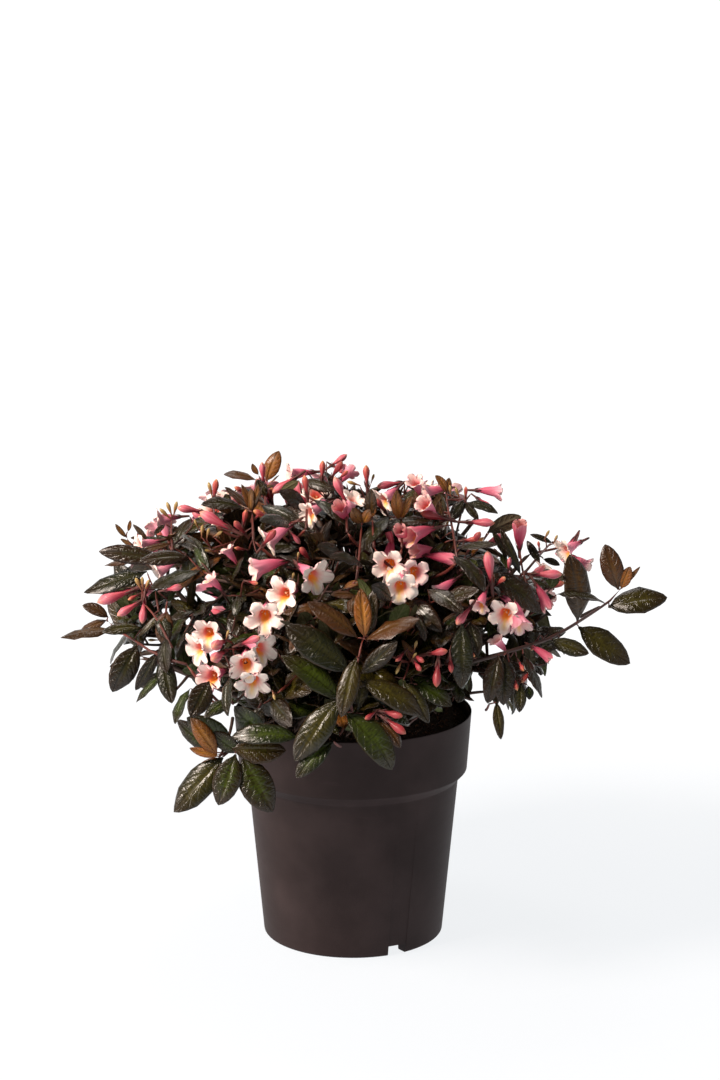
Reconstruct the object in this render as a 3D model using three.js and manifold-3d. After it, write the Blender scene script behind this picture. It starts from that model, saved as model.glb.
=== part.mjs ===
// A dwarf, dark-leaved weigela in flower, grown in a plastic nursery pot.
//
// Millimetres, +Z up. The origin is the middle of the pot's underside, and -Y is the side
// the plant is usually looked at from, with +X to the right.
//
// The pot holds a plug of potting soil, and a short woody foot stands on it. From the
// foot's stubs a bough runs out to each fork of the crown, and from each fork the stems of
// two or three masses carry on. A mass is one stem with side shoots, pairs of leaves set
// crosswise, and heads of bloom, buds or young leaves, all fused into one solid that stays
// inside a cell of its own.
import * as THREE from "three";
import { mergeVertices } from "three/addons/utils/BufferGeometryUtils.js";
import Module from "manifold-3d";

const wasm = await Module();
wasm.setup();

// Pot
const POT_HEIGHT = 184;
const RIM_RADIUS = 95; // the band's outside at the top
const BAND_LOW_RADIUS = 91.5;
const BAND_LOW = 137; // height of the band's lower edge
const WAIST_RADIUS = 84.6; // the body just under the band
const WAIST = 129.5;
const BASE_RADIUS = 72.4;
const BASE_CORNER = 4; // size of the rounding at the foot
const WALL = 1.8;
const FLOOR = 11; // top of the pot's floor
const PAD_RADIUS = 30; // flat pad in the middle of the underside
const FOOT_RING = 10; // width of the standing ring
const RECESS = 8; // how far the underside is raised between the ring and the pad
const NOTCH = { count: 3, width: 16, first: -61 }; // drain notches as high as the recess, in degrees
const POT_SEGMENTS = 36;

// Soil
const SOIL_EDGE = 177; // height where the soil meets the pot
const SOIL_TOP = 183; // height of the flat spot round the foot
const SOIL_GAP = 0.7; // between the soil and the pot's wall
const SOIL_SEGMENTS = 18;

// Foot and boughs
const GAP = 0.3; // clear space between neighbouring solids that meet
const FOOT = { height: 20, radius: 9, flare: 14, crownRadius: 6 };
const STUB = { length: 21, radius: 3.4, end: 3.0 };
const HUB_HEIGHT = SOIL_TOP + GAP + FOOT.height - 5; // where the stubs spread from
const BOUGH = { start: 3.0, end: 2.4, sides: 5, steps: 3, share: 0.5 };

// Crown: azimuth is measured from +X towards +Y, elevation from the horizon and reach from
// the heart to the tip of the mass's own stem.
const HEART = new THREE.Vector3(0, 0, 195);
const STEM = { start: 2.6, end: 1.8, sides: 3, steps: 4, nodes: 5, spacing: 20, offset: 2.9, lead: 0.34 };
const SHOOT = { start: 1.4, end: 1.1, sides: 3, steps: 2, bulge: 0.16, nodes: 2, spacing: 16 };
const SITE_BACK = 26; // a cell's centre lies this far inside its mass's tip
const CELL_MARGIN = 0.25;
const SHOOT_MARGIN = 2.5; // how far inside its cell the line of a side shoot stays
const LIMB_CLEARANCE = 2.2;

// Leaves are set at nodes, counted from the tip of their shoot. Angles from the shoot.
const LEAF = { length: 60, width: 0.42, thickness: 1.2, fold: 0.13, sag: 0.16, ridge: 0.12, root: 0.4 };
const NODE_SIZE = [0.56, 0.88, 1.0, 1.0, 1.0];
const NODE_ANGLE = [30, 52, 66, 72, 76];
// A leaf that doesn't fit is tried again, turned by these degrees and at these shares of its size.
const TRIES = [[0, 1], [14, 1], [-14, 1], [26, 0.85], [-26, 0.85], [0, 0.7]];
const ROOT_OVERLAP = 0.1; // cubic millimetres that two leaves may share, at their roots

// Heads of flowers and of buds. spread is the slope at which they stand apart.
const BLOOM = { count: 2, spread: 0.62, length: 30, mouth: 15, throat: 4.6 };
const BUD = { count: 3, spread: 0.5, length: 21, radius: 3.4 };
const NO_HEAD = { count: 0, spread: 0 };

const SEED = 48271;

// The masses by the bough that carries them. heads gives the head of the mass's own stem and
// then of each side shoot: f for flowers, b for buds and l for young leaves. spread is how
// far the side shoots reach to the sides, and arch lifts the middle of the stem.
const BOUGHS = {
  low_left: {
    low_left_whorl: { azimuth: -144, elevation: -10, reach: 152, spread: 18, arch: 30, heads: "lll" },
    left_front: { azimuth: -158, elevation: 15, reach: 184, spread: 34, arch: 8, heads: "llbl" },
  },
  left: {
    left_tip: { azimuth: 179, elevation: 15, reach: 214, spread: 30, arch: 8, heads: "llb" },
    left_shoulder: { azimuth: 178, elevation: 33, reach: 206, spread: 36, arch: 4, heads: "lfbl" },
  },
  front_left: {
    front_left_blooms: { azimuth: -119, elevation: 22, reach: 174, spread: 36, arch: 6, heads: "fffl" },
    front_left_skirt: { azimuth: -106, elevation: 4, reach: 160, spread: 32, arch: 16, heads: "llll" },
  },
  upper_left: {
    upper_left_blooms: { azimuth: -140, elevation: 42, reach: 178, spread: 38, arch: 4, heads: "flfl" },
    top_left: { azimuth: 172, elevation: 64, reach: 172, spread: 38, arch: 0, heads: "lfbl" },
  },
  upper_front_left: {
    upper_front_left: { azimuth: -110, elevation: 44, reach: 172, spread: 34, arch: 4, heads: "flfl" },
    top_front: { azimuth: -100, elevation: 70, reach: 172, spread: 36, arch: 0, heads: "blfl" },
  },
  front: {
    centre_shoot: { azimuth: -88, elevation: 25, reach: 182, spread: 28, arch: 6, heads: "lll" },
    front_skirt: { azimuth: -83, elevation: 3, reach: 160, spread: 32, arch: 16, heads: "lbl" },
  },
  upper_front_right: {
    upper_front_right: { azimuth: -74, elevation: 48, reach: 172, spread: 34, arch: 4, heads: "flfl" },
    upper_right: { azimuth: -40, elevation: 48, reach: 178, spread: 36, arch: 4, heads: "lfbl" },
  },
  front_right: {
    front_right: { azimuth: -64, elevation: 22, reach: 170, spread: 34, arch: 6, heads: "blbl" },
    right_skirt: { azimuth: -50, elevation: 8, reach: 158, spread: 30, arch: 18, heads: "lbl" },
  },
  right: {
    right_blooms: { azimuth: -40, elevation: 27, reach: 178, spread: 34, arch: 6, heads: "ffll" },
    right_side: { azimuth: -16, elevation: 17, reach: 172, spread: 32, arch: 12, heads: "lbl" },
  },
  far_right: {
    long_right_shoot: { azimuth: -2, elevation: 20, reach: 234, spread: 20, arch: -4, heads: "ll" },
    right_shoulder: { azimuth: -3, elevation: 40, reach: 184, spread: 34, arch: 4, heads: "lfbl" },
  },
  top_right: {
    top_right: { azimuth: -24, elevation: 66, reach: 172, spread: 38, arch: 0, heads: "fllb" },
    upper_back_right: { azimuth: 28, elevation: 50, reach: 178, spread: 38, arch: 2, heads: "lflb" },
  },
  back_right: {
    back_right_skirt: { azimuth: 32, elevation: 9, reach: 176, spread: 36, arch: 12, heads: "llbl" },
    back_right: { azimuth: 50, elevation: 31, reach: 180, spread: 38, arch: 4, heads: "fllf" },
  },
  back: {
    back_skirt: { azimuth: 80, elevation: 7, reach: 174, spread: 36, arch: 12, heads: "llbl" },
    back_blooms: { azimuth: 94, elevation: 31, reach: 180, spread: 38, arch: 4, heads: "flfl" },
  },
  upper_back: {
    upper_back: { azimuth: 78, elevation: 56, reach: 174, spread: 38, arch: 2, heads: "lfbl" },
    top_back: { azimuth: 110, elevation: 76, reach: 168, spread: 38, arch: 0, heads: "blfl" },
  },
  back_left: {
    back_left_skirt: { azimuth: 120, elevation: 8, reach: 176, spread: 36, arch: 12, heads: "llbl" },
    back_left: { azimuth: 136, elevation: 32, reach: 180, spread: 38, arch: 4, heads: "fllf" },
  },
  left_back: {
    left_back_skirt: { azimuth: 154, elevation: 11, reach: 182, spread: 34, arch: 10, heads: "lbll" },
    upper_back_left: { azimuth: 132, elevation: 53, reach: 176, spread: 38, arch: 2, heads: "lflb" },
  },
};

const COLOURS = {
  pot: [0x3a3436, 0.55],
  soil: [0x2a1a14, 0.95],
  wood: [0x4b3429, 0.8],
  leaf: [0x2c3420, 0.4],
};

const material = ([color, roughness]) =>
  new THREE.MeshStandardMaterial({ color, roughness, metalness: 0 });
const radians = THREE.MathUtils.degToRad;
const up = new THREE.Vector3(0, 0, 1);

// The same numbers each time for the same seed, from 0 to 1.
function randomFrom(seed) {
  let state = seed % 2147483647;
  const draw = () => (state = (state * 16807) % 2147483647) / 2147483647;
  for (let i = 0; i < 3; i++) draw();
  return draw;
}

function direction(azimuth, elevation) {
  const flat = Math.cos(radians(elevation));
  return new THREE.Vector3(
    flat * Math.cos(radians(azimuth)),
    flat * Math.sin(radians(azimuth)),
    Math.sin(radians(elevation)),
  );
}

const along = (from, way, distance) => from.clone().addScaledVector(way, distance);
const mix = (a, b, share) => a.clone().lerp(b, share);

// Two unit vectors square to an axis and to each other, and one turned round it by an angle.
function sideways(axis) {
  const other = Math.abs(axis.z) > 0.9 ? new THREE.Vector3(1, 0, 0) : up;
  const first = new THREE.Vector3().crossVectors(axis, other).normalize();
  return [first, new THREE.Vector3().crossVectors(axis, first).normalize()];
}

function around(axis, angle) {
  const [right, over] = sideways(axis);
  return right.multiplyScalar(Math.cos(angle)).addScaledVector(over, Math.sin(angle));
}

// --- Solids ---------------------------------------------------------------------------

function solidFrom(geometry) {
  const bare = geometry.clone();
  bare.deleteAttribute("normal");
  bare.deleteAttribute("uv");
  const merged = mergeVertices(bare, 1e-4);
  return new wasm.Manifold(
    new wasm.Mesh({
      numProp: 3,
      vertProperties: new Float32Array(merged.attributes.position.array),
      triVerts: new Uint32Array(merged.index.array),
    }),
  );
}

function geometryFrom(solid) {
  const mesh = solid.getMesh();
  return new THREE.BufferGeometry()
    .setAttribute("position", new THREE.BufferAttribute(new Float32Array(mesh.vertProperties), 3))
    .setIndex(new THREE.BufferAttribute(new Uint32Array(mesh.triVerts), 1));
}

// The pieces as one body, with scraps dropped and sealed hollows filled.
function fused(solids) {
  const whole = solids.reduce((a, b) => a.add(b));
  const bodies = whole.decompose().sort((a, b) => b.volume() - a.volume());
  return geometryFrom(bodies[0]);
}

// A tapering limb along a curve: a cylinder whose rings are carried to the curve.
function limb(curve, { start, end, sides, steps }) {
  const geometry = new THREE.CylinderGeometry(end, start, 1, sides, steps);
  const frames = curve.computeFrenetFrames(steps, false);
  const position = geometry.attributes.position;
  for (let i = 0; i < position.count; i++) {
    const step = Math.round((position.getY(i) + 0.5) * steps);
    const point = curve
      .getPointAt(step / steps)
      .addScaledVector(frames.normals[step], position.getX(i))
      .addScaledVector(frames.binormals[step], -position.getZ(i));
    position.setXYZ(i, point.x, point.y, point.z);
  }
  return geometry;
}

// Puts a geometry made along +Z, with its face towards +X, at a point.
function placed(geometry, point, way, face) {
  const side = new THREE.Vector3().crossVectors(way, face).normalize();
  const facing = new THREE.Vector3().crossVectors(side, way);
  return geometry.applyMatrix4(new THREE.Matrix4().makeBasis(facing, side, way).setPosition(point));
}

// --- Pot, soil and foot ---------------------------------------------------------------

function lathe(profile, segments) {
  const points = profile.map(([r, z]) => new THREE.Vector2(r, z));
  return new THREE.LatheGeometry(points, segments).rotateX(Math.PI / 2);
}

function potGeometry() {
  const ringInside = BASE_RADIUS - FOOT_RING;
  const body = lathe(
    [
      [0, 0],
      [PAD_RADIUS, 0],
      [PAD_RADIUS + RECESS / 4, RECESS],
      [ringInside - RECESS / 4, RECESS],
      [ringInside, 0],
      [BASE_RADIUS - BASE_CORNER / 2, 0],
      [BASE_RADIUS, BASE_CORNER],
      [WAIST_RADIUS, WAIST],
      [BAND_LOW_RADIUS, BAND_LOW],
      [RIM_RADIUS, POT_HEIGHT],
      [RIM_RADIUS - WALL, POT_HEIGHT],
      [WAIST_RADIUS - WALL, WAIST],
      [BASE_RADIUS - WALL, FLOOR],
      [0, FLOOR],
    ],
    POT_SEGMENTS,
  );
  const notchDepth = FOOT_RING + RECESS;
  let solid = solidFrom(body);
  for (let i = 0; i < NOTCH.count; i++) {
    const cut = new THREE.BoxGeometry(notchDepth + 4, NOTCH.width, 2 * RECESS)
      .translate(BASE_RADIUS - notchDepth / 2 + 2, 0, 0)
      .rotateZ(radians(NOTCH.first + (360 * i) / NOTCH.count));
    solid = solid.subtract(solidFrom(cut));
  }
  return geometryFrom(solid);
}

// The soil fills the pot and rises in a low, lumpy mound to the flat spot round the foot.
function soilGeometry() {
  const inside = (z) =>
    BASE_RADIUS - WALL - SOIL_GAP + ((WAIST_RADIUS - BASE_RADIUS) * (z - FLOOR)) / (WAIST - FLOOR);
  const slope = (RIM_RADIUS - WAIST_RADIUS) / (POT_HEIGHT - WAIST);
  const edge = WAIST_RADIUS - WALL - SOIL_GAP + slope * (SOIL_EDGE - WAIST);
  const geometry = lathe(
    [
      [0, FLOOR + GAP],
      [inside(FLOOR), FLOOR + GAP],
      [inside(WAIST), WAIST],
      [edge, SOIL_EDGE],
      [edge - 14, SOIL_EDGE + 3],
      [FOOT.flare + 26, SOIL_TOP - 1],
      [FOOT.flare + 3, SOIL_TOP],
      [0, SOIL_TOP],
    ],
    SOIL_SEGMENTS,
  );
  const random = randomFrom(SEED);
  const position = geometry.attributes.position;
  const lumps = new Map();
  for (let i = 0; i < position.count; i++) {
    const radius = Math.hypot(position.getX(i), position.getY(i));
    if (position.getZ(i) < SOIL_EDGE + 1 || radius < FOOT.flare + 8) continue;
    const place = `${Math.round(10 * position.getX(i))} ${Math.round(10 * position.getY(i))}`;
    if (!lumps.has(place)) lumps.set(place, 2.4 * (random() - 0.5));
    position.setZ(i, position.getZ(i) + lumps.get(place));
  }
  return geometry;
}

function footGeometry(stubs) {
  const base = SOIL_TOP + GAP;
  const top = base + FOOT.height;
  const butt = lathe(
    [
      [0, base],
      [FOOT.flare, base],
      [FOOT.radius + 1, base + 5],
      [FOOT.crownRadius, top],
      [0, top + 1.5],
    ],
    9,
  );
  const hub = new THREE.Vector3(0, 0, HUB_HEIGHT);
  const arms = stubs.map((way) => {
    const line = new THREE.LineCurve3(hub, along(hub, way, STUB.length));
    return limb(line, { start: STUB.radius, end: STUB.end, sides: 4, steps: 1 });
  });
  return fused([butt, ...arms].map(solidFrom));
}

// --- Where things grow ----------------------------------------------------------------

function layOut() {
  const boughs = [];
  const masses = [];
  for (const [name, carried] of Object.entries(BOUGHS)) {
    const group = Object.entries(carried).map(([massName, mass]) => {
      const axis = direction(mass.azimuth, mass.elevation);
      const seed = SEED * (masses.length + 7);
      const grown = {
        ...mass,
        name: massName,
        axis,
        seed,
        tip: along(HEART, axis, mass.reach),
        site: along(HEART, axis, mass.reach - SITE_BACK),
      };
      masses.push(grown);
      return grown;
    });
    const sum = group.reduce((total, m) => total.add(m.site), new THREE.Vector3());
    const middle = sum.divideScalar(group.length);
    const fork = mix(HEART, middle, BOUGH.share);
    const hub = new THREE.Vector3(0, 0, HUB_HEIGHT);
    const way = along(fork, up, 6).sub(hub).normalize();
    const start = along(hub, way, STUB.length + GAP);
    const reach = fork.distanceTo(start);
    const curve = new THREE.QuadraticBezierCurve3(start, along(start, way, 0.5 * reach), fork);
    const bough = { name, way, fork, curve, end: curve.getTangentAt(1) };
    group.forEach((m) => (m.bough = bough));
    boughs.push(bough);
  }
  return { boughs, masses };
}

// A mass's own stem, which starts beside its neighbours' on the bough's end face.
function stemCurve(mass) {
  const { fork, end } = mass.bough;
  const aim = mass.tip.clone().sub(fork);
  const lean = aim.clone().addScaledVector(end, -aim.dot(end)).normalize();
  const start = along(along(fork, end, GAP), lean, STEM.offset);
  const length = mass.tip.distanceTo(start);
  const first = along(start, end, STEM.lead * length);
  const second = along(along(mass.tip, mass.axis, -0.3 * length), up, mass.arch);
  return new THREE.CubicBezierCurve3(start, first, second, mass.tip);
}

// The side shoots leave the stem in turn, bulge outwards and end round the mass's tip.
function shootCurves(mass, masses, random) {
  const count = mass.heads.length - 1;
  const phase = 360 * random();
  let low = 0.3;
  while (low < 0.8 && !insideCell([mass.stem.getPointAt(low)], mass, masses, SHOOT_MARGIN)) low += 0.04;
  const curves = [];
  for (let i = 0; i < count; i++) {
    const side = around(mass.axis, radians(phase + (360 * i) / count + 24 * (random() - 0.5)));
    const root = mass.stem.getPointAt(low + ((0.86 - low) * (i + random())) / count);
    const back = 4 + 22 * random();
    const out = mass.spread * (0.8 + 0.4 * random());
    const tip = keptInside(along(along(mass.tip, mass.axis, -back), side, out), mass, masses);
    const middle = along(mix(root, tip, 0.5), side, SHOOT.bulge * root.distanceTo(tip));
    curves.push(new THREE.QuadraticBezierCurve3(root, keptInside(middle, mass, masses), tip));
  }
  return curves;
}

// Each leaf of a shoot as its root, way, face and length.
function leavesOn(curve, { nodes, spacing }, leafy, random) {
  const length = curve.getLength();
  const leaves = [];
  const phase = 180 * random();
  for (let node = 0; node < nodes; node++) {
    const at = 1 - (node * spacing + 2) / length;
    const sizes = [random(), random()];
    const tilts = [random(), random()];
    if (at < 0.1 || (node === 0 && !leafy)) continue;
    const root = curve.getPointAt(at);
    const tangent = curve.getTangentAt(at);
    const face = along(tangent.clone().multiplyScalar(0.7), up, 0.6);
    for (const pair of [0, 1]) {
      const side = around(tangent, radians(phase + 90 * node + 180 * pair + 20 * (tilts[pair] - 0.5)));
      const angle = radians(NODE_ANGLE[node] + 20 * (tilts[1 - pair] - 0.5));
      const way = tangent.clone().multiplyScalar(Math.cos(angle)).addScaledVector(side, Math.sin(angle));
      const size = LEAF.length * NODE_SIZE[node] * (0.88 + 0.24 * sizes[pair]);
      leaves.push({ root, way, face, tangent, length: size });
    }
  }
  return leaves;
}

// --- Leaves, flowers and buds ---------------------------------------------------------

// A leaf is a six-sided outline with a ridge point above and below it, folded up at its
// edges and sagging to its tip.
function leafGeometry({ root, way, face, length }) {
  const geometry = new THREE.SphereGeometry(1, 6, 2);
  const position = geometry.attributes.position;
  for (let i = 0; i < position.count; i++) {
    const [x, y, z] = [position.getX(i), position.getY(i), position.getZ(i)];
    if (Math.abs(y) > 0.5) {
      position.setXYZ(i, 0.5 * y * LEAF.thickness, 0, LEAF.ridge * length);
    } else {
      const t = 0.5 + 0.5 * x;
      const rise = LEAF.fold * Math.abs(z) * LEAF.width * length - LEAF.sag * length * t * t;
      position.setXYZ(i, rise, z * 0.58 * LEAF.width * length, t * length + LEAF.root);
    }
  }
  return placed(geometry, root, way, face);
}

// The same leaf as it is, and as it is tried again.
const variantsOf = (leaf) =>
  TRIES.map(([turn, share]) =>
    leafGeometry({
      ...leaf,
      length: share * leaf.length,
      way: leaf.way.clone().applyAxisAngle(leaf.tangent, radians(turn)),
    }),
  );

// A funnel with a five-cornered mouth round a hollow throat.
function flowerGeometry(root, way) {
  const { length, mouth, throat } = BLOOM;
  const profile = [
    [0, -1],
    [throat, 0.64 * length],
    [mouth, length],
    [0, 0.62 * length],
  ];
  return placed(lathe(profile, 5), root, way, sideways(way)[0]);
}

// A club, thickest near its tip.
function budGeometry(root, way, size) {
  const { length, radius } = BUD;
  const profile = [
    [0, -1],
    [radius * size, 0.7 * length * size],
    [0, length * size],
  ];
  return placed(lathe(profile, 4), root, way, sideways(way)[0]);
}

// The flowers or buds at the end of a shoot.
function headOf(kind, curve, random) {
  const root = curve.getPointAt(0.985);
  const outward = root.clone().sub(HEART).normalize();
  const aim = curve.getTangentAt(1).multiplyScalar(0.4).addScaledVector(outward, 0.6).normalize();
  const { count, spread } = { f: BLOOM, b: BUD, l: NO_HEAD }[kind];
  const phase = 360 * random();
  const pieces = [];
  for (let i = 0; i < count; i++) {
    const side = around(aim, radians(phase + (360 * i) / count + 30 * (random() - 0.5)));
    const way = along(aim, side, spread * (0.8 + 0.4 * random())).normalize();
    const size = 0.7 + 0.45 * random();
    pieces.push(kind === "f" ? flowerGeometry(root, way) : budGeometry(root, way, size));
  }
  return pieces;
}

// --- Keeping to a space ---------------------------------------------------------------

function pointsOf(geometry) {
  const position = geometry.attributes.position;
  const point = (_, i) => new THREE.Vector3().fromBufferAttribute(position, i);
  return Array.from({ length: position.count }, point);
}

// Corners, and points between them, close enough together to find a limb that passes.
function samplesOf(geometry) {
  const source = geometry.index ? geometry.toNonIndexed() : geometry;
  const points = pointsOf(source);
  const samples = [...points];
  for (let i = 0; i < points.length; i += 3) {
    const [a, b, c] = points.slice(i, i + 3);
    samples.push(mix(a, b, 0.5), mix(b, c, 0.5), mix(c, a, 0.5), mix(mix(a, b, 0.5), c, 0.33));
  }
  return samples;
}

// A cell is the space nearer to its own site than to any other mass's.
const insideCell = (points, mass, masses, margin = CELL_MARGIN) =>
  masses.every((other) => {
    if (other === mass) return true;
    const middle = mix(mass.site, other.site, 0.5);
    const way = other.site.clone().sub(mass.site).normalize();
    return points.every((p) => p.clone().sub(middle).dot(way) < -margin);
  });

// Beside the pot and off the ground, or over its rim.
const clearOfPot = (points) =>
  points.every((p) => p.z > POT_HEIGHT + 2.5 || (p.z > 3 && Math.hypot(p.x, p.y) > RIM_RADIUS + 2));

function limbRecord(curve, radius, owner) {
  const path = curve.getSpacedPoints(8);
  const centre = mix(path[0], path[8], 0.5);
  const reach = Math.max(...path.map((p) => p.distanceTo(centre))) + radius + LIMB_CLEARANCE;
  return { path, radius, owner, centre, reach };
}

function touches(point, { path, radius, centre, reach }) {
  if (point.distanceTo(centre) > reach) return false;
  return path.slice(1).some((end, i) => {
    const nearest = new THREE.Line3(path[i], end).closestPointToPoint(point, true, new THREE.Vector3());
    return nearest.distanceTo(point) < radius + LIMB_CLEARANCE;
  });
}

const clearOfLimbs = (points, limbs, owner) =>
  limbs.every((other) => other.owner === owner || !points.some((p) => touches(p, other)));

// The point, moved towards the mass's site until it is inside the cell.
function keptInside(point, mass, masses) {
  for (let step = 0; step < 24; step++) {
    const moved = mix(point, mass.site, step / 24);
    if (insideCell([moved], mass, masses, SHOOT_MARGIN)) return moved;
  }
  return mass.site.clone();
}

// Whether a piece runs through another, apart from where their roots share a shoot.
const crosses = (piece, others) =>
  others
    .filter((other) => piece.box.intersectsBox(other.box))
    .some((other) => piece.solid.intersect(other.solid).volume() > ROOT_OVERLAP);

function massGeometry(mass, masses, limbs) {
  const random = randomFrom(mass.seed);
  const fits = (geometry) => {
    const points = pointsOf(geometry);
    if (!insideCell(points, mass, masses) || !clearOfPot(points)) return false;
    return clearOfLimbs(samplesOf(geometry), limbs, mass);
  };
  const twigs = [limb(mass.stem, STEM)];
  const shoots = [{ curve: mass.stem, kind: STEM, head: mass.heads[0] }];
  shootCurves(mass, masses, random).forEach((curve, i) => {
    const twig = limb(curve, SHOOT);
    if (!fits(twig)) return;
    twigs.push(twig);
    shoots.push({ curve, kind: SHOOT, head: mass.heads[i + 1] });
  });
  // The first candidate that fits is kept, and where none does the leaf or flower is skipped.
  const grown = [];
  const grow = (candidates) => {
    for (const geometry of candidates.filter(fits)) {
      const box = new THREE.Box3().setFromPoints(pointsOf(geometry));
      const piece = { solid: solidFrom(geometry), box };
      if (!crosses(piece, grown)) return grown.push(piece);
    }
  };
  for (const { curve, head } of shoots) {
    for (const bloom of headOf(head, curve, random)) grow([bloom]);
  }
  for (const { curve, kind, head } of shoots) {
    for (const leaf of leavesOn(curve, kind, head === "l", random)) grow(variantsOf(leaf));
  }
  return fused([...twigs.map(solidFrom), ...grown.map((piece) => piece.solid)]);
}

// --- The plant ------------------------------------------------------------------------

const plant = new THREE.Group();

function addNode(name, geometry, colour) {
  const mesh = new THREE.Mesh(geometry, material(colour));
  mesh.name = name;
  plant.add(mesh);
}

const { boughs, masses } = layOut();
masses.forEach((mass) => (mass.stem = stemCurve(mass)));
const limbs = [
  ...boughs.map((bough) => limbRecord(bough.curve, BOUGH.start, null)),
  ...masses.map((mass) => limbRecord(mass.stem, STEM.start, mass)),
];

addNode("pot", potGeometry(), COLOURS.pot);
addNode("soil", soilGeometry(), COLOURS.soil);
addNode("foot", footGeometry(boughs.map((bough) => bough.way)), COLOURS.wood);
boughs.forEach((bough) => addNode(`bough_${bough.name}`, limb(bough.curve, BOUGH), COLOURS.wood));
masses.forEach((mass) => addNode(`mass_${mass.name}`, massGeometry(mass, masses, limbs), COLOURS.leaf));

export default plant;
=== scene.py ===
# A dwarf, dark-leaved weigela in bloom in its nursery pot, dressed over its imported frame.
# Sizes below are in millimetres and are brought to metres as each mesh is made.
import copy
import itertools
import math

import bmesh
import bpy
import numpy as np
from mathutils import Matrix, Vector, noise


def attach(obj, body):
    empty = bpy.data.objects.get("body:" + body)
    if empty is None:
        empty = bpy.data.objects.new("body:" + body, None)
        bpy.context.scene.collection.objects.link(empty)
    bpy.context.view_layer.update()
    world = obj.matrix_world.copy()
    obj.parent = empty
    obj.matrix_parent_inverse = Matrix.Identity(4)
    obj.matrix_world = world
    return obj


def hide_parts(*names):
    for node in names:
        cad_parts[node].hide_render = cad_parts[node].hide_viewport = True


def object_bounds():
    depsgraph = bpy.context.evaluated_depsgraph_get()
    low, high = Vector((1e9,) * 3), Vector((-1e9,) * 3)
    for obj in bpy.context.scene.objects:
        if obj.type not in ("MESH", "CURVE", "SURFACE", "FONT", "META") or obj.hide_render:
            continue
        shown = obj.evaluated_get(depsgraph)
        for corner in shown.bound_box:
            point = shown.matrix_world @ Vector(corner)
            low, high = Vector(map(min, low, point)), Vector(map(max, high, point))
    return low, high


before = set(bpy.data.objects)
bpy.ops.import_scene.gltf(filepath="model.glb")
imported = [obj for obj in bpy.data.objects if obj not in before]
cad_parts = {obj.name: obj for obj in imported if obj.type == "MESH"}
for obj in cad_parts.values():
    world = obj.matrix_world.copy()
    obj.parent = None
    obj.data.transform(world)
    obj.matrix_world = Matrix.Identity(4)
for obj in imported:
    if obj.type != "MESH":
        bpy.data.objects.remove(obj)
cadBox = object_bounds()
mm = 0.001
up = np.array([0.0, 0.0, 1.0])

camera = {"place": (5.6, -2023, 756), "dip": 12.1, "lens": 87.3, "sensor": 36, "clip": (0.05, 100)}


def makeCamera():
    data = bpy.data.cameras.new("camera")
    data.lens = camera["lens"]
    data.sensor_width = camera["sensor"]
    data.sensor_fit = "AUTO"
    data.clip_start, data.clip_end = camera["clip"]
    held = bpy.data.objects.new("camera", data)
    held.location = Vector(camera["place"]) * mm
    held.rotation_euler = (math.radians(90 - camera["dip"]), 0, 0)
    bpy.context.scene.collection.objects.link(held)
    bpy.context.scene.camera = held


# Each lamp: its place, the size of its square, its power and its tone
studio = {
    "key": {"place": (-1500, -1000, 1900), "size": 700, "power": 98, "tone": "#ffeee0"},
    "fill": {"place": (1900, -700, 900), "size": 1200, "power": 2.0, "tone": "#fff4ec"},
    "low": {"place": (-1900, -700, 350), "size": 700, "power": 13, "tone": "#fff0e4"},
    "top": {"place": (-200, 900, 2200), "size": 700, "power": 13, "tone": "#fff4ec"},
}
lampAim = (0, 0, 0.22)
roomLight = {"room": 0.09, "back": 1.1}
floorTones = ["#5c5f63", "#eceef0", "#ffffff"]  # its own, and how it glows near and far


def makeStudio():
    scene = bpy.context.scene
    scene.view_settings.view_transform = "Standard"
    for name, lamp in studio.items():
        data = bpy.data.lights.new(name, "AREA")
        data.shape = "SQUARE"
        data.size = lamp["size"] * mm
        data.energy = lamp["power"]
        data.color = tone(lamp["tone"])[:3]
        held = bpy.data.objects.new(name, data)
        held.location = Vector(lamp["place"]) * mm
        aim = Vector(lampAim) - held.location
        held.rotation_euler = aim.to_track_quat("-Z", "Y").to_euler()
        scene.collection.objects.link(held)
    world = bpy.data.worlds.new("room")
    world.use_nodes = True
    scene.world = world
    # White low behind the plant, and a dimmer room over it and on the camera's side
    shader = Shader("", world.node_tree)
    place = shader.node("TexCoord")[0]
    _, depth, height = shader.node("SeparateXYZ", {}, [place])
    behind = shader.ramp(depth, -0.2, 0.8) * shader.ramp(height, 0.55, 0.25)
    strength = behind * (roomLight["back"] - roomLight["room"]) + roomLight["room"]
    surface = shader.node("Background", {}, {"Color": (1, 1, 1, 1), "Strength": strength})[0]
    shader.node("OutputWorld", {}, [surface])


def tone(text):
    # A hex colour as the linear numbers that a shader takes
    parts = [int(text[i : i + 2], 16) / 255 for i in (1, 3, 5)]
    return tuple(p / 12.92 if p < 0.04045 else ((p + 0.055) / 1.055) ** 2.4 for p in parts) + (1,)


class Value:
    # An output socket that can be written in sums
    def __init__(self, shader, socket):
        self.shader, self.socket = shader, socket

    def sum(self, operation, *others):
        return self.shader.node("Math", {"operation": operation}, others)[0]

    def __add__(self, other):
        return self.sum("ADD", self, other)

    __radd__ = __add__

    def __mul__(self, other):
        return self.sum("MULTIPLY", self, other)

    __rmul__ = __mul__

    def __sub__(self, other):
        return self.sum("SUBTRACT", self, other)

    def __rsub__(self, other):
        return self.sum("SUBTRACT", other, self)

    def __truediv__(self, other):
        return self.sum("DIVIDE", self, other)

    def __pow__(self, other):
        return self.sum("POWER", self, other)


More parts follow.
